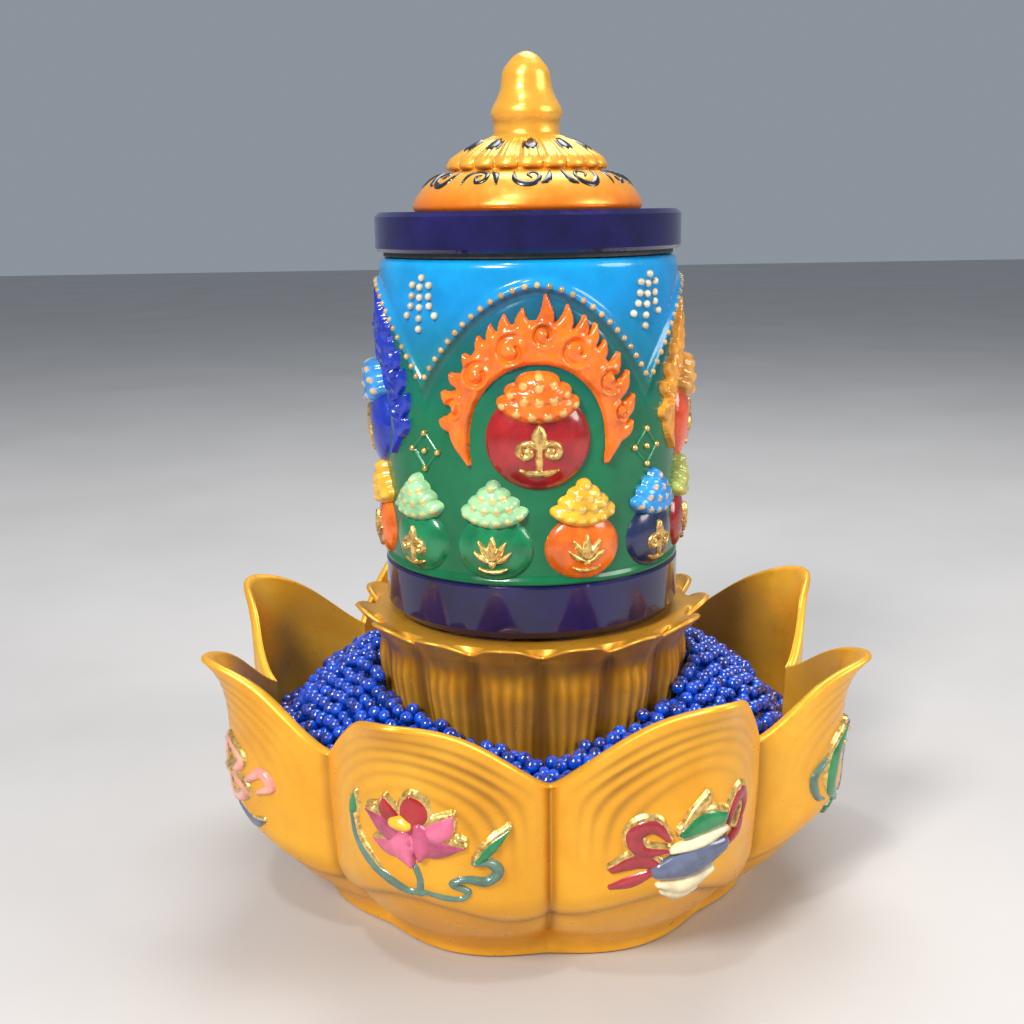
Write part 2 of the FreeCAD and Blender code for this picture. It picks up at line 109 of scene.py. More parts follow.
def smoothstep(x):
    x = np.clip(x, 0.0, 1.0)
    return x * x * (3.0 - 2.0 * x)


def spline(points, per_span):
    """Catmull-Rom curve through control points of any dimension."""
    p = np.asarray(points, float)
    p = np.vstack([2 * p[0] - p[1], p, 2 * p[-1] - p[-2]])
    out = []
    for i in range(1, len(p) - 2):
        t = np.linspace(0, 1, per_span, endpoint=False)[:, None]
        a, b, c, d = p[i - 1], p[i], p[i + 1], p[i + 2]
        out.append(0.5 * (2 * b + (c - a) * t + (2 * a - 5 * b + 4 * c - d) * t ** 2
                          + (3 * b - a - 3 * c + d) * t ** 3))
    out.append(p[-2][None])
    return np.vstack(out)


def end_caps(rows, segments):
    """Triangles closing both ends of a ring-shaped grid whose two centres follow its vertices:
    the one past the last row first, then the one before the first row."""
    count, last = rows * segments, (rows - 1) * segments
    return ([[last + k, last + (k + 1) % segments, count] for k in range(segments)]
            + [[(k + 1) % segments, k, count + 1] for k in range(segments)])


def turned(name, radius, z, angles, tip, foot, material, body):
    """Solid of rings of (radius, z), closed on the axis at the heights tip and foot."""
    rows, segments = radius.shape
    points = np.vstack([polar(radius, angles, z).reshape(-1, 3), [[0, 0, tip], [0, 0, foot]]])
    faces = grid_faces(rows, segments).tolist() + end_caps(rows, segments)
    return make_object(name, points, faces, material, body)


# ---------------------------------------------------------------- relief patches
def drum_surface(u, z, h):
    return polar(DRUM_R + h, u / DRUM_R, z)


def relief(name, height, low, high, step, material, body, slot, surface=drum_surface,
           turn=0.0, depth=0.5, mark=None):
    """A raised, closed piece: height(u, v) mm over a surface, kept only where it stands above
    -depth. It dips under the surface round its edge, so its outline is where the two meet."""
    us = np.arange(low[0], high[0] + step, step)
    vs = np.arange(low[1], high[1] + step, step)
    u, v = np.meshgrid(us, vs)
    h = np.maximum(height(u, v), -depth)
    inside = h > -depth + 1e-6
    cell = inside[:-1, :-1] | inside[1:, :-1] | inside[:-1, 1:] | inside[1:, 1:]
    rows, cols = np.nonzero(cell)
    n = len(us)
    quads = np.stack([rows * n + cols, rows * n + cols + 1,
                      (rows + 1) * n + cols + 1, (rows + 1) * n + cols], axis=-1)
    used, index = np.unique(quads, return_inverse=True)
    quads = index.reshape(-1, 4)
    uu, vv, hh = u.ravel()[used], v.ravel()[used], h.ravel()[used]
    top = surface(uu + turn, vv, hh)
    under = surface(uu + turn, vv, np.full_like(hh, -depth - 0.3))
    count = len(used)
    edges = np.concatenate([quads[:, [i, (i + 1) % 4]] for i in range(4)])
    keys = np.sort(edges, axis=1)
    _, first, counts = np.unique(keys, axis=0, return_index=True, return_counts=True)
    rim = edges[first[counts == 1]]
    walls = np.stack([rim[:, 1], rim[:, 0], rim[:, 0] + count, rim[:, 1] + count], axis=-1)
    faces = np.vstack([quads, quads[:, ::-1] + count, walls])
    obj = make_object(name, np.vstack([top, under]), faces, material, body)
    if mark is not None:
        values = mark(uu, vv, hh)
        tint(obj, np.concatenate([values, values]))
    return obj


def stroke(u, v, path, widths, rise, per_span=14):
    """Height of a rounded brush stroke along a smooth path; widths are half widths."""
    p = spline([(x, y, w) for (x, y), w in zip(path, widths)], per_span)
    best = np.full(u.shape, -9.0)
    for x, y, w in p:
        d = np.hypot(u - x, v - y) / max(w, 0.05)
        best = np.maximum(best, 1.0 - d)
    return rise * (np.sqrt(np.clip(1.0 - (1.0 - np.clip(best, 0, 1)) ** 2, 0, 1))
                   - 1.2 * np.clip(-best, 0, 1))


def strokes(u, v, lines):
    """Highest of several strokes, each given as its path, half widths and rise."""
    return np.max([stroke(u, v, *line) for line in lines], axis=0)


def pearl(u, v, x, y, radius, rise):
    d2 = (u - x) ** 2 + (v - y) ** 2
    return rise * (np.sqrt(np.clip(1.0 - d2 / radius ** 2, 0, 1)) - 1.5 * (d2 > radius ** 2))


def ellipse(u, v, x, y, a, b, rise, power=0.5):
    q = 1.0 - ((u - x) / a) ** 2 - ((v - y) / b) ** 2
    return rise * (np.clip(q, 0, 1) ** power - 1.5 * np.clip(-q, 0, 1))


def spiral(x, y, size, turns, hand, start=0.0):
    """Path of a small curl, from its outside to its centre."""
    steps = max(4, int(turns * 8))
    out = []
    for k in range(steps + 1):
        t = k / steps
        a = start + hand * turns * TAU * t
        reach = size * (1 - 0.85 * t)
        out.append((x + reach * math.cos(a), y + reach * math.sin(a)))
    return out


# ---------------------------------------------------------------- materials
class Paint:
    """Small builder for a procedural node material on the object's own coordinates."""

    def __init__(self, name, roughness=0.4, metallic=0.0, coat=0.0, ior=1.5):
        self.material = bpy.data.materials.new(name)
        self.material.use_nodes = True
        self.tree = self.material.node_tree
        self.shader = self.tree.nodes["Principled BSDF"]
        self.set("Roughness", roughness)
        self.set("Metallic", metallic)
        self.set("IOR", ior)
        self.set("Coat Weight", coat)
        self.set("Coat Roughness", 0.08)
        self.coords = self.node("ShaderNodeTexCoord").outputs["Object"]

    def node(self, kind, **values):
        made = self.tree.nodes.new(kind)
        for key, value in values.items():
            setattr(made, key, value)
        return made

    def set(self, socket, value):
        self.shader.inputs[socket].default_value = value

    def link(self, source, target):
        self.tree.links.new(source, target)

    def noise(self, scale, detail=4.0, rough=0.55, stretch=None):
        made = self.node("ShaderNodeTexNoise")
        made.inputs["Scale"].default_value = scale
        made.inputs["Detail"].default_value = detail
        made.inputs["Roughness"].default_value = rough
        source = self.coords
        if stretch:
            mapping = self.node("ShaderNodeMapping")
            mapping.inputs["Scale"].default_value = stretch
            self.link(source, mapping.inputs["Vector"])
            source = mapping.outputs["Vector"]
        self.link(source, made.inputs["Vector"])
        return made.outputs["Fac"]

    def ramp(self, factor, stops):
        made = self.node("ShaderNodeValToRGB")
        elements = made.color_ramp.elements
        while len(elements) < len(stops):
            elements.new(0.5)
        for element, (place, colour) in zip(elements, stops):
            element.position = place
            element.color = (*colour, 1.0) if len(colour) == 3 else colour
        self.link(factor, made.inputs["Fac"])
        return made.outputs["Color"]

    def span(self, value, low, high, to_low=0.0, to_high=1.0):
        made = self.node("ShaderNodeMapRange")
        for key, number in zip(("From Min", "From Max", "To Min", "To Max"),
                               (low, high, to_low, to_high)):
            made.inputs[key].default_value = number
        self.link(value, made.inputs["Value"])
        return made.outputs["Result"]

    def mix(self, factor, first, second, mode="MIX"):
        made = self.node("ShaderNodeMix", data_type="RGBA", blend_type=mode)
        colours = [s for s in made.inputs if s.type == "RGBA"]
        self.put(factor, made.inputs[0])
        self.put(first, colours[0])
        self.put(second, colours[1])
        return [s for s in made.outputs if s.type == "RGBA"][0]

    def put(self, value, socket):
        if hasattr(value, "links"):
            self.link(value, socket)
        elif isinstance(value, tuple):
            socket.default_value = (*value, 1.0)
        else:
            socket.default_value = value

    def axis(self, which):
        made = self.node("ShaderNodeSeparateXYZ")
        self.link(self.coords, made.inputs["Vector"])
        return made.outputs[which]

    def attribute(self, name="tint"):
        made = self.node("ShaderNodeAttribute", attribute_name=name)
        return made.outputs["Fac"]

    def bump(self, height, strength, distance):
        made = self.node("ShaderNodeBump")
        made.inputs["Strength"].default_value = strength
        made.inputs["Distance"].default_value = distance
        self.link(height, made.inputs["Height"])
        self.link(made.outputs["Normal"], self.shader.inputs["Normal"])

    def colour(self, value):
        self.put(value, self.shader.inputs["Base Color"])

    def rough(self, value):
        self.link(value, self.shader.inputs["Roughness"])


def shade(colour, factor):
    return tuple(min(1.0, c * factor) for c in colour)


def lacquer(name, colour, dark=0.62, light=1.12, gold_edge=False):
    """Glossy hand-brushed lacquer: pooled darker patches, faint brush drag, small dents."""
    paint = Paint(name, roughness=0.24, coat=0.5)
    pool = paint.ramp(paint.noise(160.0, 5.0), [(0.32, shade(colour, dark)),
                                                 (0.62, shade(colour, light))])
    if gold_edge:
        pool = paint.mix(paint.attribute(), pool, GOLD_DOT)
    paint.colour(pool)
    paint.rough(paint.span(paint.noise(420.0, 3.0), 0.3, 0.7, 0.14, 0.32))
    paint.bump(paint.noise(520.0, 4.0), 0.22, 0.00018)
    return paint.material


GOLD_DOT = (0.78, 0.50, 0.14)


def gold_paint(name, bright, deep, roughness=0.38, metallic=0.55, groove=(0.16, 0.06, 0.015),
               rim=None):
    """Satin gold paint; the tint attribute mixes in the groove colour, painted shade in grooves and
    recesses.
    """
    paint = Paint(name, roughness=roughness, metallic=metallic, coat=0.10)
    paint.set("Coat Roughness", 0.3)
    cloud = paint.ramp(paint.noise(48.0, 6.0, 0.6), [(0.30, deep), (0.68, bright)])
    base = cloud
    if rim:
        colour, low, high = rim
        base = paint.mix(paint.span(paint.axis("Z"), low, high), colour, cloud)
    # painted shade: the tint attribute darkens the gold towards the groove colour in grooves,
    # recesses and under overhangs
    paint.colour(paint.mix(paint.attribute(), base, groove))
    paint.rough(paint.span(paint.noise(260.0, 5.0), 0.3, 0.72, roughness - 0.09, roughness + 0.13))
    paint.bump(paint.noise(340.0, 3.0), 0.16, 0.00018)
    return paint.material


def relief_gold():
    paint = Paint("gold_relief_paint", roughness=0.26, metallic=0.75, coat=0.3)
    paint.colour(paint.ramp(paint.noise(700.0, 4.0), [(0.35, (0.50, 0.27, 0.06)),
                                                     (0.62, (0.92, 0.64, 0.22))]))
    paint.rough(paint.span(paint.noise(900.0, 3.0), 0.3, 0.7, 0.2, 0.42))
    paint.bump(paint.noise(1300.0, 3.0), 0.3, 0.0001)
    return paint.material


def navy_lacquer():
    paint = Paint("navy_lacquer", roughness=0.16, coat=0.45, ior=1.4)
    paint.set("Coat Roughness", 0.05)
    paint.colour(paint.ramp(paint.noise(70.0, 5.0), [(0.35, (0.005, 0.004, 0.034)),
                                                   (0.70, (0.013, 0.009, 0.095))]))
    paint.rough(paint.span(paint.noise(240.0, 4.0, 0.6, (1.0, 1.0, 4.0)), 0.3, 0.7, 0.08, 0.22))
    paint.bump(paint.noise(210.0, 3.0), 0.12, 0.0003)
    return paint.material


def sleeve_paint():
    """Sky blue at the top running through teal to green; inside the arches it is deeper."""
    paint = Paint("sleeve_lacquer", roughness=0.24, coat=0.35, ior=1.35)
    height = paint.axis("Z")
    wave = paint.span(paint.noise(38.0, 3.0), 0.3, 0.7, -0.004, 0.004)
    add = paint.node("ShaderNodeMath", operation="ADD")
    paint.link(height, add.inputs[0])
    paint.link(wave, add.inputs[1])
    level = paint.span(add.outputs[0], 0.092, 0.1725)
    sky = paint.ramp(level, [(0.0, (0.004, 0.155, 0.055)), (0.45, (0.003, 0.185, 0.075)),
                             (0.62, (0.006, 0.20, 0.14)), (0.72, (0.010, 0.22, 0.36)),
                             (0.86, (0.008, 0.27, 0.66)), (1.0, (0.006, 0.33, 0.74))])
    under = paint.ramp(level, [(0.0, (0.004, 0.14, 0.05)), (0.50, (0.004, 0.165, 0.07)),
                               (0.74, (0.008, 0.13, 0.13)), (0.88, (0.012, 0.13, 0.24)),
                               (1.0, (0.01, 0.15, 0.30))])
    base = paint.mix(paint.attribute(), sky, under)
    mottle = paint.ramp(paint.noise(120.0, 5.0), [(0.3, (0.78, 0.78, 0.78)),
                                                  (0.65, (1.0, 1.0, 1.0))])
    paint.colour(paint.mix(1.0, base, mottle, "MULTIPLY"))
    paint.rough(paint.span(paint.noise(300.0, 4.0), 0.3, 0.7, 0.12, 0.3))
    paint.bump(paint.noise(260.0, 4.0), 0.25, 0.0003)
    return paint.material


def glass(name, colour):
    paint = Paint(name, roughness=0.04, ior=1.5)
    paint.set("Transmission Weight", 0.18)
    paint.set("Coat Weight", 1.0)
    paint.set("Coat Roughness", 0.02)
    paint.colour(paint.ramp(paint.noise(330.0, 2.0), [(0.35, shade(colour, 0.22)), (0.65, colour)]))
    paint.rough(paint.span(paint.noise(500.0, 2.0), 0.3, 0.7, 0.02, 0.10))
    return paint.material


def metal(name, colour, roughness, scratch=900.0):
    paint = Paint(name, roughness=roughness, metallic=1.0)
    paint.colour(paint.ramp(paint.noise(scratch * 0.3, 4.0), [(0.3, shade(colour, 0.78)),
                                                             (0.7, colour)]))
    paint.rough(paint.span(paint.noise(scratch, 4.0, 0.6, (1.0, 1.0, 12.0)), 0.3, 0.7,
                           roughness * 0.7, roughness * 1.5))
    paint.bump(paint.noise(scratch, 3.0, 0.5, (1.0, 1.0, 10.0)), 0.1, 0.00005)
    return paint.material


def fibrous(name, dark, light, scale, depth, stretch=None):
    """Felt, card, paper or ribbon: fibres in colour and height, no gloss."""
    paint = Paint(name, roughness=0.85)
    fibres = paint.noise(scale, 8.0, 0.7, stretch)
    paint.colour(paint.ramp(fibres, [(0.32, dark), (0.66, light)]))
    paint.set("Sheen Weight", 0.25)
    paint.bump(fibres, 0.5, depth)
    return paint.material


def plastic(name, dark, light):
    paint = Paint(name, roughness=0.5)
    paint.colour(paint.ramp(paint.noise(400.0, 4.0), [(0.3, dark), (0.7, light)]))
    paint.rough(paint.span(paint.noise(800.0, 3.0), 0.3, 0.7, 0.4, 0.6))
    paint.bump(paint.noise(1500.0, 3.0), 0.2, 0.00004)
    return paint.material


BOWL_GOLD = gold_paint("bowl_gold", (0.93, 0.47, 0.035), (0.80, 0.34, 0.016), 0.34, 0.45)
# the third colour given to pedestal_gold and dome_gold is the painted shade colour for their
# grooves
PEDESTAL_GOLD = gold_paint("pedestal_gold", (0.86, 0.44, 0.04), (0.64, 0.27, 0.016), 0.34, 0.45,
                           (0.09, 0.035, 0.006))
DOME_GOLD = gold_paint("dome_gold", (0.93, 0.50, 0.07), (0.86, 0.36, 0.025), 0.3, 0.4,
                       (0.22, 0.075, 0.012), ((0.95, 0.20, 0.006), 0.1845, 0.1925))
FINIAL_GOLD = gold_paint("finial_gold", (0.95, 0.52, 0.07), (0.90, 0.38, 0.025), 0.26, 0.4)
RELIEF_GOLD = relief_gold()
NAVY = navy_lacquer()
SLEEVE = sleeve_paint()
BLACK = lacquer("black_lacquer", (0.012, 0.014, 0.016))
BEAD_GLASS = glass("bead_glass", (0.0, 0.105, 0.90))
PEARL = lacquer("pearl_silver", (0.56, 0.50, 0.36), 0.6, 1.25)
TAN_PEARL = lacquer("pearl_tan", (0.46, 0.30, 0.13), 0.55, 1.35)

COLOURS = {
    "crimson": (0.36, 0.010, 0.012), "orange": (0.93, 0.165, 0.008), "cobalt": (0.008, 0.03, 0.42),
    "amber": (0.90, 0.36, 0.02), "vermilion": (0.88, 0.09, 0.015), "yellow": (0.92, 0.48, 0.03),
    "green": (0.006, 0.20, 0.075), "mint": (0.36, 0.66, 0.34), "navy": (0.012, 0.02, 0.075),
    "sky": (0.03, 0.28, 0.70), "lime": (0.50, 0.56, 0.12), "orchid": (0.50, 0.075, 0.16),
    "pink": (0.80, 0.33, 0.26), "rose": (0.66, 0.13, 0.24), "leaf": (0.02, 0.22, 0.07),
    "grey_green": (0.11, 0.20, 0.15), "slate": (0.115, 0.135, 0.22),
    "cream": (0.86, 0.72, 0.45), "maroon": (0.36, 0.025, 0.035),
}
LACQUERS = {name: lacquer("lacquer_" + name, colour) for name, colour in COLOURS.items()}
JEWELLED = {name: lacquer("jewelled_" + name, COLOURS[name], gold_edge=True)
            for name in ("orange", "sky", "yellow", "mint", "lime", "amber")}


# ---------------------------------------------------------------- carried-over CAD pieces
STEEL = metal("zinc_steel", (0.60, 0.60, 0.61), 0.34)
POLISHED = metal("bearing_steel", (0.72, 0.72, 0.74), 0.16)
BRASS = metal("turned_brass", (0.78, 0.56, 0.24), 0.28)
ALUMINIUM = metal("satin_aluminium", (0.76, 0.76, 0.78), 0.36)
CARD = fibrous("grey_card", (0.36, 0.26, 0.16), (0.58, 0.45, 0.30), 260.0, 0.0003)
PAPER = fibrous("cream_paper", (0.80, 0.74, 0.58), (0.92, 0.88, 0.76), 900.0, 0.0001,
                (1.0, 1.0, 0.06))
RIBBON = fibrous("orange_ribbon", (0.55, 0.16, 0.02), (0.86, 0.34, 0.05), 1500.0, 0.00015,
                 (1.0, 1.0, 0.3))
FELT = fibrous("dark_felt", (0.012, 0.05, 0.022), (0.05, 0.13, 0.06), 700.0, 0.0005)
RUBBER = plastic("black_rubber", (0.010, 0.010, 0.011), (0.035, 0.035, 0.036))
NYLON = plastic("nylon", (0.62, 0.56, 0.40), (0.80, 0.74, 0.58))

CARRIED = {
    "felt_pad": FELT, "spindle": STEEL, "base_washer": STEEL, "base_nut": STEEL,
    "bearing_spacer": BRASS, "bearing_inner_ring": POLISHED, "bearing_outer_ring": POLISHED,
    "bearing_nut": STEEL, "bearing_balls": POLISHED, "bearing_cage": NYLON,
    "bearing_shields": POLISHED, "drum_base": NAVY, "hub_tube": ALUMINIUM, "hub_screws": STEEL,
    "upper_bush": BRASS, "roll_core": CARD, "paper_roll": PAPER, "roll_ribbons": RIBBON,
    "lid_disc": NAVY, "lid_gasket": RUBBER, "lid_washer": STEEL, "lid_screw": STEEL,
}
for node_name, node_material in CARRIED.items():
    mesh_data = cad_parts[node_name].data
    mesh_data.materials.clear()
    mesh_data.materials.append(node_material)


# ---------------------------------------------------------------- drum sleeve
PANELS = 4
PANEL_HALF = math.pi * DRUM_R / PANELS      # half width of a panel along the wall
ARCH_TOP = 166.6
ARCH_DROP = 22.5
ARCH_SPAN = 29.5


def arch_height(u):
    return ARCH_TOP - ARCH_DROP * (np.abs(u) / ARCH_SPAN) ** 1.8


def arch_distance(u, z):
    slope = 1.8 * ARCH_DROP / ARCH_SPAN * (np.abs(u) / ARCH_SPAN) ** 0.8
    return (z - arch_height(u)) / np.sqrt(1.0 + slope ** 2)


def panel_u(angle):
    quarter = TAU / PANELS
    return (np.mod(angle + quarter / 2, quarter) - quarter / 2) * DRUM_R


def drum_sleeve():
    wall = np.linspace(SLEEVE_LO[2] + 2.4, SLEEVE_HI[2] - 2.2, 210)
    low, high = SLEEVE_LO[2], SLEEVE_HI[2]
    inner = DRUM_R - 3.2
    foot = [(inner, low), (DRUM_R + 0.2, low), (DRUM_R + 0.6, low + 0.3), (DRUM_R + 0.7, low + 0.8),
            (DRUM_R + 0.5, low + 1.4), (DRUM_R + 0.15, low + 1.9)]
    head = [(DRUM_R - 0.1, high - 1.6), (DRUM_R - 0.4, high - 0.9), (DRUM_R - 0.9, high - 0.35),
            (DRUM_R - 1.7, high - 0.05), (inner + 0.6, high), (inner, high - 0.4),
            (inner, low + 4.0)]
    outline = np.array(foot + [(DRUM_R, z) for z in wall] + head)
    segments = 960
    angles = turn_angles(segments)
    u = panel_u(angles)
    r, z = rings(outline, u)
    on_wall = (np.abs(r - DRUM_R) < 1e-6) * smoothstep((z - low - 2.0) / 2.0)
    d = arch_distance(u, z)
    ridge = 1.15 * np.exp(-(d / 1.15) ** 2) - 0.35 * np.exp(-((d + 2.5) / 0.9) ** 2)
    lumps = 0.05 * np.sin(7 * angles + 0.11 * z) * np.sin(0.21 * z + 3 * angles)
    r = r + on_wall * (ridge + lumps)
    points = polar(r, angles, z).reshape(-1, 3)
    faces = grid_faces(len(outline), segments, closed=True)
    obj = make_object("sleeve_wall", points, faces, SLEEVE, "drum")
    tint(obj, smoothstep((-d - 0.3) / 0.8))
    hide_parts("drum_sleeve")


def ball_cluster(name, centres, radii, material, body, rings=7, around=12):
    """Many small glossy balls in one mesh."""
    centres = np.asarray(centres, float)
    radii = np.broadcast_to(np.asarray(radii, float), (len(centres),))
    polar_angle = np.linspace(0, math.pi, rings)[1:-1]
    around_angle = np.arange(around) * TAU / around
    belt = np.stack([np.outer(np.sin(polar_angle), np.cos(around_angle)),
                     np.outer(np.sin(polar_angle), np.sin(around_angle)),
                     np.outer(np.cos(polar_angle), np.ones(around))], axis=-1).reshape(-1, 3)
    unit = np.vstack([belt, [[0, 0, 1], [0, 0, -1]]])
    quads = grid_faces(rings - 2, around)[:, ::-1].tolist()
    top, bottom = len(belt), len(belt) + 1
    base = len(belt) - around
    caps = [[k, (k + 1) % around, top] for k in range(around)]
    caps += [[base + (k + 1) % around, base + k, bottom] for k in range(around)]
    points = (centres[:, None, :] + radii[:, None, None] * unit[None]).reshape(-1, 3)
    faces = []
    for k in range(len(centres)):
        shift = k * len(unit)
        faces += [[i + shift for i in q] for q in quads + caps]
    return make_object(name, points, faces, material, body)


def panel_turns():
    return [k * TAU / PANELS * DRUM_R for k in range(PANELS)]


def arch_pearls():
    spacing = 2.9
    centres = []
    for turn in panel_turns():
        u = 0.0
        line = [0.0]
        while u < PANEL_HALF - 1.8:
            slope = 1.8 * ARCH_DROP / ARCH_SPAN * (u / ARCH_SPAN) ** 0.8
            u += spacing / math.sqrt(1.0 + slope ** 2)
            line += [u, -u]
        for place in line:
            centres.append(drum_surface(turn + place, arch_height(place), 0.95))
    ball_cluster("arch_pearls", centres, 0.80, TAN_PEARL, "drum")


TASSEL = [(0.8, 168.2), (-2.6, 166.4), (0.0, 165.9), (3.1, 166.4), (-3.0, 163.7), (-0.2, 163.4),
          (2.9, 163.7), (-3.6, 161.2), (-0.4, 160.9), (3.0, 161.4), (-5.2, 158.8), (-0.7, 158.2),
          (4.6, 159.1), (-0.9, 155.6)]
LOZENGE = [(0.0, 129.6), (-4.6, 125.2), (4.4, 125.0), (0.1, 120.6), (0.0, 125.1)]


def corner_trims():
    """Tassels of pearls and jewelled lozenges on the corners between the panels."""
    pearls, dots = [], []
    for turn in panel_turns():
        corner = turn + PANEL_HALF
        pearls += [drum_surface(corner + u, z, 0.25) for u, z in TASSEL]
        dots += [drum_surface(corner + u, z, 0.35) for u, z in LOZENGE]
        corners = [LOZENGE[k] for k in (0, 1, 3, 2, 0)]

        def frame_height(u, v):
            sides = [([a, ((a[0] + b[0]) / 2, (a[1] + b[1]) / 2), b], [0.42] * 3, 0.5)
                     for a, b in zip(corners, corners[1:])]
            return np.maximum(strokes(u, v, sides), -0.5)
        relief(f"lozenge_{round(turn)}", frame_height, (-6.5, 118.5), (6.5, 131.5), 0.3,
               LACQUERS["green"], "drum", "lacquered_resin", turn=corner)
    ball_cluster("tassel_pearls", pearls, 0.95, PEARL, "drum")
    ball_cluster("lozenge_studs", dots, 0.85, RELIEF_GOLD, "drum")


# ---------------------------------------------------------------- jars and flames
BIG_JAR = (0.0, 129.0, 13.1, 12.2, 4.0)      # middle u, z, half width, half height, rise
SMALL_JAR = (0.0, 101.6, 9.9, 8.3, 2.7)
SMALL_JARS = 11
LID_SAG = 0.018              # how far the lids' tiers curve up towards their ends


def jar_height(shape):
    x, y, a, b, rise = shape

    def height(u, v):
        return ellipse(u, v, x, y, a, b, rise, 0.55)
    return height


def tier_lid(tiers, studs, stud_r):
    """Height of a stepped lid: plump tiers, each with a row of round studs."""
    def height(u, v):
        h = np.full(u.shape, -0.6)
        for y, a, b, rise in tiers:
            h = np.maximum(h, ellipse(u, v - LID_SAG * u ** 2, 0.0, y, a, b, rise, 0.42))
        for x, y in studs:
            d2 = (u - x) ** 2 + (v - LID_SAG * x * x - y) ** 2
            stud = 0.55 * stud_r * np.sqrt(np.clip(1 - d2 / stud_r ** 2, 0, 1))
            h = np.where(d2 < stud_r ** 2, h + stud, h)
        return h

    def mark(u, v, h):
        near = np.zeros(u.shape)
        for x, y in studs:
            d = np.hypot(u - x, v - LID_SAG * x * x - y)
            near = np.maximum(near, smoothstep((stud_r * 0.9 - d) / (0.4 * stud_r)))
        return near * 0.85
    return height, mark


BIG_LID = tier_lid([(136.8, 10.2, 3.9, 5.4), (140.1, 8.2, 3.7, 5.6), (143.0, 5.4, 3.1, 5.2)],
                   [(-8.4, 136.6), (-5.0, 135.6), (-1.6, 135.2), (1.9, 135.2), (5.3, 135.6),
                    (8.6, 136.6), (-6.4, 139.8), (-3.2, 139.0), (0.0, 138.8), (3.2, 139.0),
                    (6.4, 139.8), (-3.4, 142.8), (0.0, 142.4), (3.4, 142.8), (0.0, 145.2)], 1.2)
SMALL_LID = tier_lid([(109.9, 8.6, 3.1, 3.7), (112.6, 6.6, 2.9, 3.8), (115.0, 4.3, 2.6, 3.4),
                      (117.2, 2.0, 1.9, 2.8)],
                     [(-6.9, 109.1), (-4.2, 108.6), (-1.4, 108.4), (1.4, 108.4), (4.2, 108.6),
                      (6.9, 109.1), (-4.4, 111.9), (-1.5, 111.6), (1.5, 111.6), (4.4, 111.9),
                      (-2.4, 114.6), (0.6, 114.4), (2.9, 114.8), (0.0, 117.4)], 1.0)

TONGUES = [(1.0, 155.6, 2.1, 164.2, 2.3), (5.2, 155.2, 7.4, 161.6, 2.3),
           (8.8, 153.4, 11.6, 159.0, 2.2), (11.4, 151.4, 14.4, 157.0, 2.1),
           (13.8, 148.4, 16.8, 152.8, 2.1), (17.0, 144.4, 20.7, 149.7, 2.3),
           (19.4, 139.4, 23.5, 145.0, 2.4), (20.8, 134.0, 25.4, 139.0, 2.5),
           (20.4, 129.4, 24.9, 132.4, 2.3),
           (-2.4, 155.4, -3.5, 161.0, 2.1), (-6.0, 154.2, -8.0, 159.6, 2.2),
           (-9.0, 152.4, -11.4, 157.2, 1.9), (-11.4, 150.2, -14.4, 154.4, 2.1),
           (-14.0, 147.0, -18.2, 150.0, 2.2), (-17.4, 143.0, -22.0, 145.2, 2.3),
           (-19.8, 138.6, -24.2, 140.6, 2.3), (-20.6, 132.6, -24.9, 133.8, 2.4)]
CURLS = [(1.4, 155.0, 0.95), (9.2, 151.0, 1.25), (18.0, 143.4, 1.05), (21.6, 135.4, 0.8),
         (-6.3, 151.0, 1.3), (-14.6, 145.0, 1.15), (-20.8, 136.6, 0.85)]


def flame_height(u, v):
    """Horseshoe of flame: flat band round the jar, short bent tongues, raised curls."""
    inner = ((u / 17.4) ** 2 + ((v - 129.0) / 18.7) ** 2) ** 0.5
    outer = ((u / 21.9) ** 2 + ((v - 133.2) / 25.0) ** 2) ** 0.5
    edge = np.minimum((inner - 1.0) * 17.8, (1.0 - outer) * 22.5)
    edge = np.where(v < 128.0, edge - (128.0 - v) * 0.9, edge)
    body = np.clip(edge, -0.6, 1.0)
    side = np.sign(u)
    au = np.abs(u)
    for bx, by, tx, ty, w in TONGUES:
        bend = ((bx + tx) / 2 + math.copysign(0.8, tx), (by + ty) / 2 - 0.5)
        tongue = stroke(u, v, [(bx, by), bend, (tx, ty)], [w, w * 0.72, 0.25], 1.0)
        body = np.maximum(body, tongue)
    tail = stroke(au, v, [(20.6, 134.0), (20.0, 129.0), (17.4, 122.8)], [2.4, 2.2, 0.35], 1.0)
    body = np.maximum(body, np.minimum(tail, np.clip((inner - 1.0) * 17.8, -0.6, 1.0)))
    top = 1.7 * np.clip(body, 0, 1) ** 0.5
    h = np.where(body > 0, top, body)
    curls = np.zeros(u.shape)
    for x, y, size in CURLS:
        d = np.hypot(u - x, v - y) / size
        turn = np.mod(math.copysign(1.0, x) * np.arctan2(v - y, u - x) + 0.9, TAU) / TAU
        groove = 1.2 + 1.7 * turn
        curls = curls + 0.9 * np.exp(-(d / 0.95) ** 2)
        curls = curls - 0.85 * np.exp(-((d - groove) / 0.42) ** 2) * smoothstep((0.97 - turn) * 9)
        curls = curls + 0.45 * np.exp(-((d - groove - 0.95) / 0.5) ** 2)
    lick = 0.22 * np.sin(1.15 * au + 0.45 * v + side) * smoothstep((edge - 0.8) / 1.2)
    return np.where(h > 0.9, h + curls + lick, h)


def ornament_height(scale, cx, cy):
    """Plain scroll ornament: a bud over two mirrored curls on a short bar."""
    def height(u, v):
        au = np.abs(u - cx) / scale
        w = (v - cy) / scale
        curl = spiral(2.1, -0.2, 1.9, 1.15, -1, 2.6)
        return 0.95 * strokes(au, w, [
            ([(0, 1.0), (0, 2.6), (0, 4.8)], [0.55, 1.25, 0.2], 0.9),
            (curl, [0.55] * len(curl), 0.75, 6),
            ([(0, 0.6), (0, -1.8), (0, -3.4)], [0.45, 0.6, 0.45], 0.8),
            ([(0, -4.2), (1.6, -4.1), (3.2, -3.5)], [0.6, 0.55, 0.25], 0.75)])
    return height


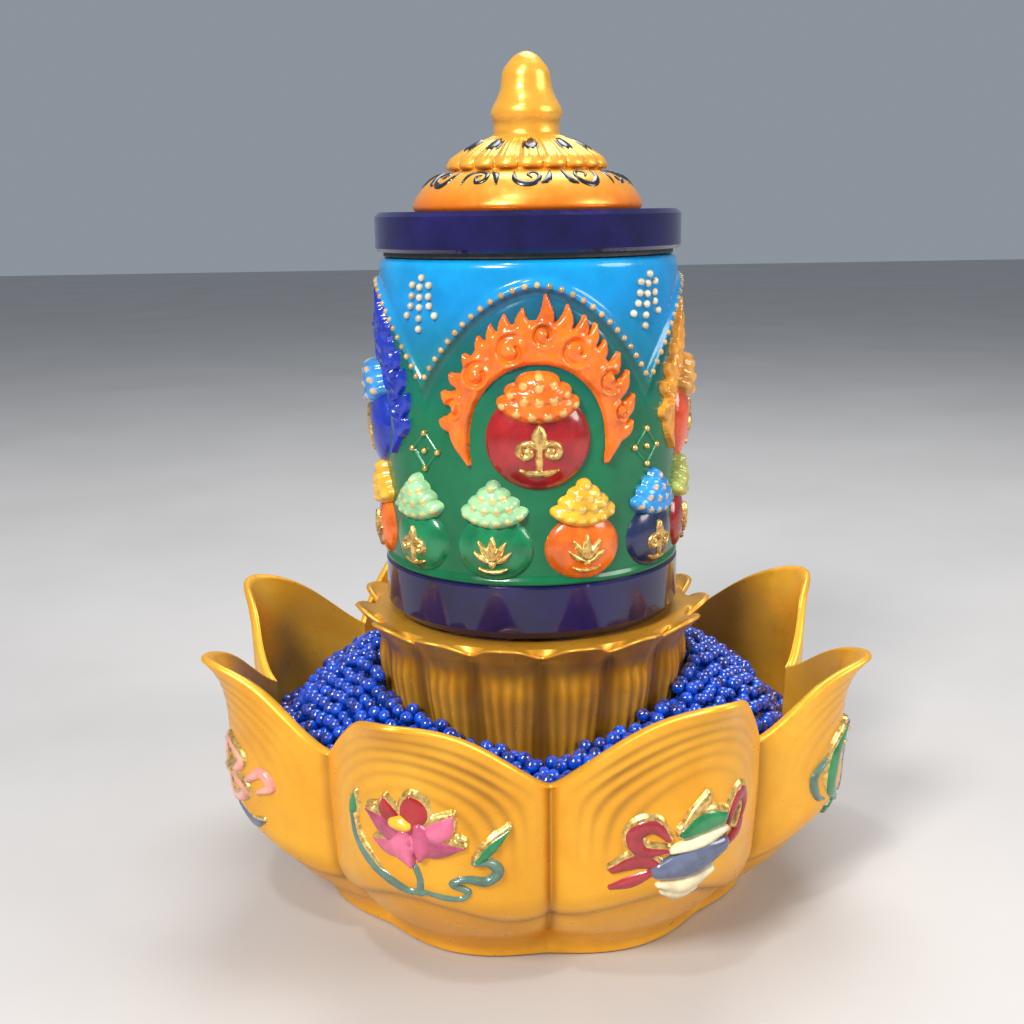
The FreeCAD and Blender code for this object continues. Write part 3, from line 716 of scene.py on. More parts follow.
def palmette(scale, cx, cy):
    """Five leaves rising from a stud over a curved bar."""
    def height(u, v):
        x, y = np.abs(u - cx) / scale, (v - cy) / scale
        leaves = strokes(x, y, [
            ([(0.0, -1.0), (0.0, 2.0), (0.0, 4.9)], [0.4, 1.05, 0.2], 1.0),
            ([(0.4, -1.2), (1.9, 1.2), (3.3, 3.6)], [0.3, 0.85, 0.2], 0.9),
            ([(0.8, -1.7), (2.8, -0.7), (4.4, 0.9)], [0.3, 0.75, 0.2], 0.85),
            ([(0.0, -4.4), (1.8, -4.2), (3.4, -3.4)], [0.6, 0.55, 0.25], 0.8)])
        return np.maximum(leaves, pearl(x, y, 0.0, -2.3, 0.95, 0.95))
    return height


PANEL_COLOURS = [("crimson", "orange", "orange"), ("vermilion", "amber", "amber"),
                 ("green", "mint", "lime"), ("cobalt", "sky", "cobalt")]
SMALL_COLOURS = [("orange", "yellow"), ("navy", "sky"), ("crimson", "lime"), ("green", "mint"),
                 ("orange", "yellow"), ("navy", "sky"), ("crimson", "orange"), ("green", "mint"),
                 ("orange", "yellow"), ("green", "mint"), ("green", "mint")]


def big_panels():
    jar = jar_height(BIG_JAR)
    lid, lid_mark = BIG_LID
    scroll = ornament_height(1.35, 0.0, 126.9)
    for k, (turn, (body, cap, fire)) in enumerate(zip(panel_turns(), PANEL_COLOURS)):
        args = dict(body="drum", slot="lacquered_resin", turn=turn)
        relief(f"jar_{k}", jar, (-14, 116), (14, 142), 0.45, LACQUERS[body], **args)
        relief(f"jar_lid_{k}", lid, (-10.5, 132), (10.5, 147), 0.3, JEWELLED[cap], mark=lid_mark,
               **args)
        relief(f"flame_{k}", flame_height, (-26.5, 121), (26.5, 165.5), 0.33, LACQUERS[fire],
               **args)
        relief(f"jar_scroll_{k}", scroll, (-7.5, 118), (7.5, 135.5), 0.25, RELIEF_GOLD,
               surface=lambda u, v, h, t=turn: drum_surface(u, v, jar(u - t, v) + h), **args)


def small_jars():
    jar = jar_height(SMALL_JAR)
    lid, lid_mark = SMALL_LID
    scrolls = (palmette(1.0, 0.0, 100.3), ornament_height(1.08, 0.0, 100.3))
    pitch = TAU / SMALL_JARS * DRUM_R
    for k, (body, cap) in enumerate(SMALL_COLOURS):
        turn = (k + 0.5) * pitch
        args = dict(body="drum", slot="lacquered_resin", turn=turn)
        relief(f"small_jar_{k}", jar, (-10.5, 92.8), (10.5, 110.5), 0.42, LACQUERS[body], **args)
        relief(f"small_lid_{k}", lid, (-8.8, 106.3), (8.8, 119.2), 0.27, JEWELLED[cap],
               mark=lid_mark, **args)
        relief(f"small_scroll_{k}", scrolls[k % 2], (-6, 94), (6, 107.5), 0.22, RELIEF_GOLD,
               surface=lambda u, v, h, t=turn: drum_surface(u, v, jar(u - t, v) + h), **args)


drum_sleeve()
arch_pearls()
corner_trims()
big_panels()
small_jars()


# ---------------------------------------------------------------- lid dome and finial
DOME = [(29.7, 0.0), (30.2, 0.7), (30.2, 1.6), (29.6, 3.0), (28.7, 4.4), (27.5, 6.0), (26.1, 7.5),
        (24.5, 8.6), (22.8, 9.3), (21.2, 9.6), (20.0, 9.8), (19.6, 10.3), (20.7, 11.2),
        (20.8, 12.2), (19.6, 13.4), (17.8, 14.6), (15.4, 16.1), (12.8, 17.4), (10.6, 18.2),
        (9.3, 18.8)]
TIER_PETALS = 20
BELT_R = 28.0                # radius used to lay marks out round the dome


def dome_outline():
    return spline(DOME, 7)


def dome_surface(u, v, h):
    """Point of the dome by arc u at BELT_R and distance v along its outline."""
    line = dome_outline()
    step = np.hypot(*np.diff(line, axis=0).T)
    along = np.concatenate([[0], np.cumsum(step)])
    r = np.interp(v, along, line[:, 0])
    z = np.interp(v, along, line[:, 1])
    slope = np.gradient(line, along, axis=0)
    nr = np.interp(v, along, slope[:, 1])
    nz = np.interp(v, along, -slope[:, 0])
    return polar(r + nr * h, u / BELT_R, LID_TOP + z + nz * h)


def lid_dome():
    angles = turn_angles(480)
    r, z = rings(dome_outline(), angles)
    petal = np.abs(np.cos(0.5 * TIER_PETALS * angles))
    tier = smoothstep((z - 9.9) / 1.4) * smoothstep((r - 9.5) / 5.0)
    r = r + tier * (1.5 * petal ** 0.6 - 1.2)
    z = z - tier * 0.7 * petal ** 0.5 * smoothstep((r - 16.0) / 4.0) * smoothstep((13.5 - z) / 2.0)
    flutes = 0.16 * np.cos(4 * TIER_PETALS * angles) * smoothstep((z - 12.0) / 1.5)
    r = r + flutes
    obj = turned("dome_casting", r, LID_TOP + z, angles, LID_TOP + 18.9, LID_TOP, DOME_GOLD,
                 "lid")
    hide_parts("dome")
    # painted shade: darker under the scalloped tier edge (most under the petal tips), in the
    # valleys between the tier petals and along the flute grooves
    gap = np.exp(-((z - 10.5) / 0.55) ** 2) * (0.35 + 0.65 * petal)
    valley_shade = (1 - petal ** 0.25) * smoothstep((z - 11.0) / 1.0) * smoothstep((18.0 - z) / 3.0)
    flute_shade = 0.6 * smoothstep(0.1 - np.cos(4 * TIER_PETALS * angles))
    flute_shade = flute_shade * smoothstep((z - 12.4) / 1.5)
    tint(obj, np.concatenate([np.clip(0.8 * gap + 0.5 * valley_shade + 0.4 * flute_shade, 0, 0.85).ravel(),
                              [0.0, 0.0]]))


def dome_marks():
    """Painted black scrolls round the belt and drops on the tier; none is a letter."""
    scrolls, drops = 12, 10
    shapes = [[(-5.2, 12.6), (-4.6, 9.0), (-2.2, 7.4), (0.6, 7.8), (2.0, 10.2), (0.4, 12.2),
               (-1.2, 10.8), (-0.2, 9.4)],
              [(5.2, 12.9), (4.4, 9.2), (2.0, 7.2), (-1.0, 8.0), (-2.2, 10.6), (-0.2, 12.6),
               (1.6, 11.2), (0.6, 9.8)],
              [(-4.8, 7.6), (-4.0, 11.4), (-1.2, 13.0), (1.6, 11.6), (1.8, 8.8), (-0.4, 8.0),
               (-1.2, 9.8), (0.0, 10.6)]]
    tails = [[(2.4, 7.6), (4.2, 9.0), (5.6, 13.4)], [(-2.6, 7.4), (-4.4, 8.8), (-5.6, 12.8)],
             [(2.6, 12.8), (4.4, 11.0), (5.4, 7.4)]]
    for k in range(scrolls):
        lines = [(shapes[k % 3], [0.25, 0.75, 0.9, 0.8, 0.65, 0.55, 0.45, 0.3], 0.32, 8),
                 (tails[k % 3], [0.3, 0.95, 0.25], 0.32, 10)]

        def mark_height(u, v):
            return strokes(u, v, lines)
        relief(f"dome_scroll_{k:02d}", mark_height, (-7.5, 5.0), (7.5, 15.4), 0.2, BLACK, "lid",
               "orange_gold_resin", surface=dome_surface, turn=k * (TAU * BELT_R / scrolls),
               depth=0.12)

    def drop(u, v):
        return stroke(u, v, [(-0.8, 24.2), (0.2, 26.2), (1.2, 28.6)], [0.7, 3.0, 0.6], 0.42, 12)
    for k in range(drops):
        relief(f"dome_drop_{k}", drop, (-5.0, 22.6), (5.0, 30.0), 0.2, BLACK, "lid",
               "orange_gold_resin", surface=dome_surface, turn=k * (TAU * BELT_R / drops),
               depth=0.12)


def lid_finial():
    outline = spline([(9.4, 18.4), (8.75, 19.4), (8.55, 20.6), (8.65, 22.2), (9.1, 23.6),
                      (9.35, 24.5), (9.05, 25.9), (8.2, 27.4), (7.45, 28.9), (6.8, 30.6),
                      (6.5, 32.4), (6.25, 34.3), (5.7, 35.7), (4.85, 36.9), (3.3, 38.6),
                      (1.7, 39.6), (0.4, 39.95)], 7)
    angles = turn_angles(192)
    r, up = rings(outline, angles)
    r = r * (1 + 0.006 * np.sin(3 * angles + 0.4 * (LID_TOP + up)))
    obj = turned("finial_casting", r, LID_TOP + up, angles, LID_TOP + 40.0, LID_TOP + 18.4,
                 FINIAL_GOLD, "lid")
    # painted shade in the two hollow necks of the finial
    painted_shade = 0.35 * np.exp(-((up - 22.4) / 0.9) ** 2) + 0.2 * np.exp(-((up - 19.4) / 0.8) ** 2)
    tint(obj, np.concatenate([painted_shade.ravel(), [0.0, 0.0]]))
    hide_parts("finial")


lid_dome()
dome_marks()
lid_finial()


# ---------------------------------------------------------------- outer lotus bowl
PETALS = 8
CENTRE_LINE = spline([(60.5, 0.5), (61.5, 3.0), (66.0, 7.0), (74.0, 13.5), (80.5, 22.0),
                      (84.8, 31.0), (86.8, 41.0), (87.0, 51.0), (87.6, 60.0), (89.6, 67.5),
                      (93.4, 73.6)], 10)
VALLEY_LINE = spline([(57.5, 0.5), (58.5, 2.8), (61.5, 6.0), (67.5, 11.0), (72.0, 17.0),
                      (75.0, 23.5), (76.8, 30.5), (77.6, 37.5), (78.0, 44.0), (78.1, 49.5),
                      (78.2, 54.0)], 10)
STATIONS = np.linspace(0.0, 10.0, len(CENTRE_LINE))
FLANK_R = 87.5
PETAL_R = 84.0               # radius used to lay emblems out along a petal
BOWL_BORE = 4.4
PETAL_LEAN = np.radians([2.5, 0.0, -1.0, 0.8, 0.0, -0.8, 0.5, -1.0])   # hand-modelled differences
PETAL_LIFT = np.array([2.3, -4.2, 0.0, -0.6, 0.4, 0.8, 0.0, 0.0])
PEDESTAL_PROFILE = spline([(37.6, 18.0), (38.2, 30.0), (39.8, 42.0), (42.0, 55.0), (44.0, 66.0),
                           (45.2, 71.0), (46.6, 74.8), (48.3, 77.4)], 12)


def petal_shape(angle):
    return 0.5 - 0.5 * np.cos(PETALS * angle)


def valley_distance(angle):
    """Distance along the bowl to the nearest valley between two petals."""
    pitch = TAU / PETALS
    return (pitch / 2 - np.abs(np.mod(angle, pitch) - pitch / 2)) * PETAL_R


def bowl_outer(angle, station):
    """Radius and height of the smooth outer surface, before grooves and steps."""
    rc = np.interp(station, STATIONS, CENTRE_LINE[:, 0])
    zc = np.interp(station, STATIONS, CENTRE_LINE[:, 1])
    rv = np.interp(station, STATIONS, VALLEY_LINE[:, 0])
    zv = np.interp(station, STATIONS, VALLEY_LINE[:, 1])
    petal = np.floor(np.mod(angle, TAU) / TAU * PETALS).astype(int) % PETALS
    growth = (station / 10.0) ** 2
    x = petal_shape(angle - PETAL_LEAN[petal] * petal_shape(angle) * growth)
    zc = zc + PETAL_LIFT[petal] * growth
    flank = np.minimum(rc, FLANK_R)
    radius = rv + (flank - rv) * x ** 0.7 + (rc - flank) * x ** 4
    tuck = 2.6 * np.exp(-valley_distance(angle) / 4.2) * smoothstep(station / 2.5)
    return radius - tuck, zv + (zc - zv) * x ** 0.6


def bowl_relief(angle, station):
    """Depth of the modelled detail: veins that follow the petal edge, and the foot tier."""
    z = bowl_outer(angle, station)[1]
    edge_z = bowl_outer(angle, 10.0)[1]
    to_side = np.maximum(valley_distance(angle), 0.01)
    to_top = np.maximum((edge_z - z) * 0.95, 0.01)
    d = (to_side ** -3.0 + to_top ** -3.0) ** (-1 / 3.0)
    veins = np.zeros(np.broadcast(angle, station).shape)
    for place, deep in ((3.2, 0.30), (6.2, 0.42), (9.0, 0.38), (12.0, 0.30), (15.2, 0.22)):
        veins = veins - deep * np.exp(-((d - place) / 0.75) ** 2)
    paired = 0.12 + 0.88 * (0.5 + 0.5 * np.cos(0.5 * PETALS * angle)) ** 1.4
    veins = veins * smoothstep((z - 30.0) / 22.0) * smoothstep((edge_z - z) / 4.0 + 0.15) * paired
    veins = veins * smoothstep((petal_shape(angle) + 0.10) * 1.6)
    border = 20.0 + 8.5 * petal_shape(angle) ** 1.3 + 1.5 * np.sin(PETALS * angle)
    tier = smoothstep((border - z) / 2.4)
    swell = 0.9 * np.exp(-((z - border - 5.0) / 5.0) ** 2)
    step = swell - 2.3 * tier * smoothstep(z / 8.0) - 0.3 * np.exp(-((z - border) / 0.9) ** 2)
    crease = -0.5 * np.exp(-(to_side / 1.2) ** 2) * smoothstep((z - 6.0) / 8.0)
    # the last three are masks for painted shade: the vein grooves, the band under the foot tier's
    # edge and the valleys between petals
    return veins + step + crease, veins, np.exp(-((z - border + 1.2) / 1.6) ** 2), \
        np.exp(-(to_side / 1.6) ** 2)


def bowl_surface(u, z, h):
    """Point h mm off the petals, by arc u at PETAL_R and height z."""
    angle = u / PETAL_R
    grid = np.linspace(0.0, 10.0, 161)
    _, heights = bowl_outer(angle[:, None], grid[None, :])
    above = (heights < z[:, None]).sum(axis=1).clip(1, len(grid) - 1)
    rows = np.arange(len(u))
    z0, z1 = heights[rows, above - 1], heights[rows, above]
    station = grid[above - 1] + (grid[1] - grid[0]) * np.clip((z - z0) / (z1 - z0), 0, 1)

    def at(a, s):
        r, zz = bowl_outer(a, s)
        return polar(r, a, zz)
    across = at(angle + 0.004, station) - at(angle - 0.004, station)
    along = at(angle, np.minimum(station + 0.05, 10.0)) - at(angle, station - 0.05)
    normal = np.cross(across, along)
    normal /= np.linalg.norm(normal, axis=1)[:, None]
    return at(angle, station) + normal * h[:, None]


def lotus_bowl():
    segments = 1120
    angle = turn_angles(segments)
    outer = np.linspace(0.0, 9.93, 200)[:, None]
    r, z = bowl_outer(angle, outer)
    detail, veins, border, valley_shade = bowl_relief(angle, outer)
    rows_r, rows_z = [r + detail], [z]
    # painted shade: darker in the vein grooves, under the edge of the foot tier and along the
    # valleys between petals
    painted_shade = [np.clip(-2.0 * veins + 0.6 * border + 0.45 * valley_shade * (z > 8), 0, 0.8)]
    edge_r, edge_z = bowl_outer(angle, 10.0)
    low_r, low_z = bowl_outer(angle, 9.5)
    lean = np.arctan2(edge_r - low_r, edge_z - low_z)
    half = 1.25                  # half thickness of the rim
    for t in np.linspace(0.0, math.pi, 10)[1:-1]:
        across = half * (1 - math.cos(t))
        over = half * 0.85 * math.sin(t)
        rows_r.append(edge_r - across * np.cos(lean) + over * np.sin(lean))
        rows_z.append(edge_z + across * np.sin(lean) * 0.6 + over * np.cos(lean) - 0.5)
        painted_shade.append(0 * edge_r)
    for s in np.linspace(9.9, 4.6, 60):
        r, z = bowl_outer(angle, s)
        inset = 2.5 + 0.9 * (10 - s) / 5.4
        rows_r.append(r - inset + 0.12 * np.sin(24 * angle + s))
        rows_z.append(z + 0.25 * inset)
        painted_shade.append(0 * r)
    x = petal_shape(angle)
    floor = [(66.0, 20.5, 3.0), (60.0, 18.0, 0.0), (30.0, 18.0, 0.0), (BOWL_BORE, 18.0, 0.0),
             (BOWL_BORE, 10.0, 0.0), (16.0, 10.0, 0.0), (16.0, 1.5, 0.0), (55.3, 1.5, 0.0),
             (55.3, 0.5, 0.0)]
    for r0, z0, grow in floor:
        rows_r.append(r0 + grow * x ** 0.7)
        rows_z.append(z0 + 0 * x)
        painted_shade.append(0 * x)
    r = np.vstack(rows_r)
    z = np.vstack(rows_z)
    points = polar(r, angle, z).reshape(-1, 3)
    obj = make_object("lotus_bowl_casting", points, grid_faces(len(r), segments, closed=True),
                      BOWL_GOLD, "base")
    tint(obj, np.vstack(painted_shade))
    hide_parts("lotus_bowl")


def pair(colour, rise, edged, path, widths):
    """A shape and its mirror image."""
    return [(colour, rise, edged, [(side * x, y) for x, y in path], widths) for side in (1, -1)]


# Emblems in mm from the middle of a petal and mm above the table. Each line is one brushed
# shape: colour, rise, gold edging, path, half widths along it.
EMBLEMS = {
    "lotus": [
        ("orchid", 1.5, 1, [(2.5, 45.5), (6.5, 44.6), (12.8, 44.8)], [1.8, 2.6, 0.3]),
        ("rose", 1.5, 1, [(1.5, 45.0), (-3.6, 44.0), (-8.0, 45.2)], [1.8, 2.6, 0.3]),
        ("rose", 1.7, 1, [(2.0, 46.5), (7.2, 49.0), (10.4, 53.0)], [2.2, 3.2, 0.4]),
        ("crimson", 1.5, 1, [(0.0, 48.5), (-4.0, 52.2), (-4.8, 56.2)], [2.2, 2.8, 0.4]),
        ("crimson", 1.6, 1, [(1.4, 49.5), (2.0, 53.8), (1.4, 57.6)], [2.2, 3.5, 0.5]),
        ("orchid", 1.8, 1, [(0.5, 46.2), (-4.8, 49.0), (-9.6, 52.2)], [2.2, 3.0, 0.4]),
        ("orchid", 2.1, 0, [(3.0, 50.0), (3.8, 46.2), (3.2, 42.2)], [1.4, 3.0, 0.8]),
        ("rose", 2.2, 0, [(-0.2, 48.2), (-1.0, 44.8), (1.2, 40.4)], [1.6, 3.1, 0.6]),
        ("yellow", 2.5, 0, [(-2.4, 50.6), (-1.0, 50.4), (0.4, 50.2)], [1.7, 2.2, 1.7]),
        ("leaf", 1.3, 1, [(-15.6, 49.0), (-15.0, 51.2), (-14.0, 54.4)], [1.1, 1.6, 0.3]),
        ("grey_green", 1.4, 1, [(-15.4, 49.0), (-14.2, 43.6), (-10.4, 38.6), (-6.0, 35.6)],
         [0.8, 1.2, 1.7, 1.1]),
        ("grey_green", 1.5, 0, [(-9.0, 37.2), (-4.2, 34.6), (-0.4, 32.9), (3.6, 33.0)],
         [1.5, 1.8, 1.2, 0.8]),
        ("grey_green", 1.4, 0, [(2.2, 32.6), (2.6, 36.4), (1.8, 39.8)], [1.2, 1.0, 0.7]),
        ("grey_green", 1.4, 0, [(4.0, 33.0), (7.6, 31.8), (11.4, 31.4), (13.0, 33.2), (9.6, 35.4),
                                (12.8, 36.4), (17.2, 35.2), (20.0, 37.4), (18.0, 40.2),
                                (14.6, 40.6)],
         [0.8, 1.1, 0.9, 0.9, 0.9, 0.9, 1.2, 1.3, 1.1, 0.6]),
        ("leaf", 1.5, 1, [(15.4, 41.2), (18.6, 44.2), (22.6, 48.4)], [0.9, 1.6, 0.4]),
        ("gold", 1.2, 0, [(-9.4, 53.4), (-7.4, 54.0)], [0.8, 0.5]),
        ("gold", 1.2, 0, [(11.6, 47.2), (13.0, 46.6)], [0.9, 0.5])],
    "vase": [
        ("maroon", 1.4, 1,
         [(-6.6, 45.0), (-10.0, 48.6), (-14.0, 46.6), (-12.6, 42.6), (-7.0, 42.4)],
         [0.7, 2.0, 2.2, 1.9, 0.9]),
        ("maroon", 1.3, 1, [(-8.0, 38.4), (-13.0, 39.8), (-18.6, 37.4)], [1.0, 2.2, 1.2]),
        ("maroon", 1.2, 0, [(-10.4, 36.6), (-14.4, 34.2), (-18.8, 32.6)], [1.2, 1.9, 1.0]),
        ("maroon", 1.4, 1, [(6.8, 43.0), (9.8, 48.8), (13.0, 52.2), (14.6, 49.0), (11.4, 44.0)],
         [0.6, 1.5, 2.0, 1.4, 0.6]),
        ("maroon", 1.2, 0, [(8.6, 40.4), (12.0, 42.2), (13.6, 45.2)], [0.9, 1.4, 0.6]),
        ("gold", 1.4, 0, [(-3.4, 48.4), (-0.8, 51.4), (2.0, 53.6), (2.6, 55.8)],
         [0.6, 1.2, 1.5, 0.4]),
        ("leaf", 1.9, 1, [(-3.2, 46.4), (1.6, 48.4), (6.2, 48.2)], [1.7, 3.2, 2.2]),
        ("cream", 1.8, 0, [(-6.0, 42.4), (0.8, 43.6), (7.4, 45.2)], [1.0, 1.9, 1.1]),
        ("slate", 2.3, 0, [(-8.0, 37.2), (-0.8, 38.6), (6.6, 41.2)], [2.6, 4.1, 2.4]),
        ("cream", 2.0, 0, [(-8.4, 33.6), (-2.0, 32.4), (4.2, 35.6)], [0.9, 2.4, 1.1]),
        ("cream", 1.7, 0, [(-7.0, 31.2), (-3.0, 29.8), (0.8, 31.4)], [0.9, 1.7, 0.8])],
    "knot": [
        ("pink", 1.4, 1, [(0, 53), (-7, 49), (0, 44.5), (7, 49), (0, 53)], [1.3] * 5),
        ("pink", 1.5, 1, [(0, 45), (-8, 41), (-1, 36.5), (8, 41), (0, 45)], [1.4] * 5),
        *pair("pink", 1.3, 0, [(-9, 44.5), (-14, 47.5), (-17, 44.5), (-12.5, 42)],
              [1.0, 1.5, 1.4, 0.6]),
        ("gold", 1.9, 0, [(-2.5, 44.8), (0, 44.8), (2.5, 44.8)], [1.3, 2.0, 1.3]),
        *pair("slate", 1.4, 1, [(-3, 36), (-8, 32.5), (-13, 34)], [1.0, 2.0, 0.5])],
    "fishes": [
        ("leaf", 1.8, 1, [(-3, 32), (-8.5, 38), (-8, 46), (-2.5, 51.5)], [0.6, 2.6, 3.0, 1.2]),
        ("slate", 1.8, 1, [(3, 32), (8.5, 38), (8, 46), (2.5, 51.5)], [0.6, 2.6, 3.0, 1.2]),
        ("leaf", 1.3, 0, [(-3, 33), (-6.5, 30), (-9, 32)], [0.6, 1.2, 0.4]),
        ("slate", 1.3, 0, [(3, 33), (6.5, 30), (9, 32)], [0.6, 1.2, 0.4]),
        *pair("gold", 2.2, 0, [(-4.6, 48.6), (-4.2, 48.9)], [0.9, 0.8]),
        *pair("grey_green", 1.2, 0, [(-12, 46), (-16, 42), (-14, 36.5), (-11, 35)],
              [0.6, 1.3, 1.1, 0.4])],
    "wheel": [
        ("gold", 1.7, 0, [(0, 51.5), (-8.6, 43), (0, 34.5), (8.6, 43), (0, 51.5)], [1.3] * 5),
        ("orchid", 1.4, 1, [(-5.6, 43), (0, 43), (5.6, 43)], [1.0, 1.3, 1.0]),
        ("orchid", 1.4, 1, [(0, 48.4), (0, 43), (0, 37.6)], [1.0, 1.3, 1.0]),
        ("gold", 2.1, 0, [(-0.6, 43), (0, 43), (0.6, 43)], [1.9, 2.1, 1.9]),
        *pair("maroon", 1.3, 1, [(-9, 38), (-13, 33.6), (-17, 36.5)], [0.7, 1.9, 0.6])],
    "parasol": [
        ("crimson", 1.8, 1, [(-11, 43.5), (-6.5, 48.4), (0, 50), (6.5, 48.4), (11, 43.5)],
         [1.1, 2.6, 3.2, 2.6, 1.1]),
        ("cream", 1.9, 0, [(-11.5, 41.6), (0, 43.4), (11.5, 41.6)], [1.0, 1.7, 1.0]),
        ("gold", 1.8, 0, [(0, 53), (0, 56.5)], [1.4, 0.4]),
        ("gold", 1.5, 0, [(0, 41.5), (0, 36), (0, 30)], [0.8, 0.9, 0.7]),
        *pair("leaf", 1.3, 0, [(-10, 40), (-12.5, 35.5), (-10, 31)], [0.7, 1.4, 0.4])],
    "conch": [
        ("cream", 2.2, 1, [(-3, 33), (3.6, 38), (3.4, 45), (-3, 49.5)], [1.2, 4.0, 4.4, 2.0]),
        ("cream", 2.0, 0, [(-3, 49), (-6.5, 51.5), (-9, 50)], [1.7, 1.3, 0.6]),
        ("pink", 2.5, 0, [(-1.8, 36.5), (-3, 41), (-1.5, 45.5)], [0.5, 1.5, 0.5]),
        ("pink", 1.3, 1, [(7, 37), (12.5, 34), (16, 38), (12.5, 42)], [0.7, 1.7, 1.7, 0.6]),
        ("slate", 1.3, 1, [(-6, 33.5), (-11, 30.8), (-15, 34)], [0.7, 1.8, 0.6])],
    "banner": [
        ("leaf", 1.8, 1, [(-6, 48.5), (0, 50), (6, 48.5)], [1.4, 3.0, 1.4]),
        ("crimson", 1.9, 0, [(-6.5, 44.6), (0, 45.4), (6.5, 44.6)], [1.3, 1.8, 1.3]),
        ("yellow", 1.8, 0, [(-6.2, 41.2), (0, 41.6), (6.2, 41.2)], [1.2, 1.6, 1.2]),
        ("slate", 1.8, 0, [(-5.8, 38.0), (0, 38.2), (5.8, 38.0)], [1.2, 1.6, 1.2]),
        ("cream", 1.6, 0, [(-5, 34.8), (0, 34.2), (5, 34.8)], [1.0, 1.5, 1.0]),
        ("gold", 1.6, 0, [(0, 53), (0, 56.5)], [1.4, 0.4]),
        *pair("maroon", 1.2, 1, [(-8, 46), (-12.5, 42), (-11, 36.5)], [0.6, 1.5, 0.5])],
}
EMBLEM_ORDER = ["vase", "fishes", "wheel", "parasol", "banner", "conch", "knot", "lotus"]


def emblem(name, shapes, turn, drop=0.0):
    """One relief per colour; gold-edged shapes get a slightly wider gold one beneath."""
    groups = {}
    for colour, rise, edged, path, widths in shapes:
        path = [(x, y - drop) for x, y in path]
        groups.setdefault(colour, []).append((path, widths, rise))
        if edged:
            wider = [w + 0.38 for w in widths]
            lifted = [(x, y + 0.35) for x, y in path]
            groups.setdefault("gold", []).append((lifted, wider, rise - 0.35))
    for colour, lines in groups.items():
        spread_x = [x for path, _, _ in lines for x, _ in path]
        spread_y = [y for path, _, _ in lines for _, y in path]

        def height(u, v, lines=lines):
            return np.maximum(strokes(u, v, lines), -1.0)
        material = RELIEF_GOLD if colour == "gold" else LACQUERS[colour]
        relief(f"emblem_{name}_{colour}", height, (min(spread_x) - 5, min(spread_y) - 5),
               (max(spread_x) + 5, max(spread_y) + 5), 0.33, material, "base", "gold_resin",
               surface=bowl_surface, turn=turn)


def petal_emblems():
    for k, name in enumerate(EMBLEM_ORDER):
        emblem(name, EMBLEMS[name], (k + 0.5) * TAU / PETALS * PETAL_R, 1.5)


# ---------------------------------------------------------------- inner pedestal
PEDESTAL_LOBES = 15
PEDESTAL_FOOT = 18.0
PEDESTAL_RISE = 59.4


def lotus_pedestal():
    segments = 1500
    angle = turn_angles(segments)
    r, z = rings(PEDESTAL_PROFILE, angle)
    groove = (0.5 + 0.5 * np.cos(PEDESTAL_LOBES * angle)) ** 2
    pitch = TAU / PEDESTAL_LOBES
    across = np.mod(angle, pitch) / pitch * 2 - 1            # -1..1 over one petal
    up = (z - PEDESTAL_FOOT) / PEDESTAL_RISE
    fan = 0.62 + 0.42 * up
    ribs = np.cos(TAU * 2.6 * across / fan + 0.5 * np.sin(7 * angle))
    inside = smoothstep((0.92 - np.abs(across)) / 0.25) * smoothstep((0.93 - up) / 0.22)
    r = r - (1.2 + 1.6 * up ** 1.5) * groove
    r = r + 0.30 * ribs * inside * (0.5 + 0.5 * up)
    hollow = np.exp(-((up - 0.86) / 0.07) ** 2) * (1 - across ** 2)
    r = r - 1.7 * hollow
    point = (1 - np.abs(across)) ** 1.3
    lip = smoothstep((up - 0.90) / 0.10)
    r = r + lip * (1.6 * point - 1.3 * groove)
    z = z + lip * (0.5 * point - 3.0 * groove)
    # painted shade: darker in the grooves between petals, in the rib furrows and in the hollow
    # below the lip, lighter at the curled lip
    painted_shade = np.clip(0.75 * groove ** 2 + 0.42 * (0.5 - 0.5 * ribs) * inside + 0.40 * hollow
                   - 0.7 * lip, 0, 0.8)
    rows_r, rows_z, rows_w = [r], [z], [painted_shade]
    rim_r, rim_z = r[-1:], z[-1:]
    for drop, inset in ((-0.35, 0.5), (-0.40, 1.1), (-0.1, 1.7), (0.4, 2.3)):
        rows_r.append(rim_r - inset)
        rows_z.append(rim_z - drop)
        # faint painted shade on the inner rim
        rows_w.append(0.1 + 0 * rim_r)
    for radius, height in ((44.0, 76.55), (43.0, 76.5), (13.0, 76.5), (13.0, 70.0), (4.2, 70.0),
                           (4.2, 60.0), (19.0, 60.0), (27.0, 52.0),
                           (27.0, PEDESTAL_FOOT)):
        rows_r.append(radius + 0 * angle)
        rows_z.append(height + 0 * angle)
        rows_w.append(0 * angle)
    r, z = np.vstack(rows_r), np.vstack(rows_z)
    obj = make_object("pedestal_casting", polar(r, angle, z).reshape(-1, 3),
                      grid_faces(len(r), segments, closed=True), PEDESTAL_GOLD, "base")
    tint(obj, np.vstack(rows_w))
    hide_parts("lotus_pedestal")


# ---------------------------------------------------------------- loose glass beads
BEAD_R = 1.9
HEAP_NEAR_R = 42.0           # the heap's top slopes from this radius
HEAP_SPAN = 24.0             # over this distance
HEAP_SHOULDER = 63.0         # and falls away faster beyond this radius
BED_FLOOR = 24.0
WALL_THICK = 3.4
HEAP_ANGLES = np.radians([0, 14, 30, 60, 90, 120, 150, 180])
HEAP_NEAR = [48.5, 50.5, 55.0, 60.5, 65.5, 67.0, 66.5, 66.0]       # against the pedestal
HEAP_FAR = [46.0, 46.0, 46.5, 47.5, 50.5, 52.0, 52.5, 53.0]        # at 66 mm radius


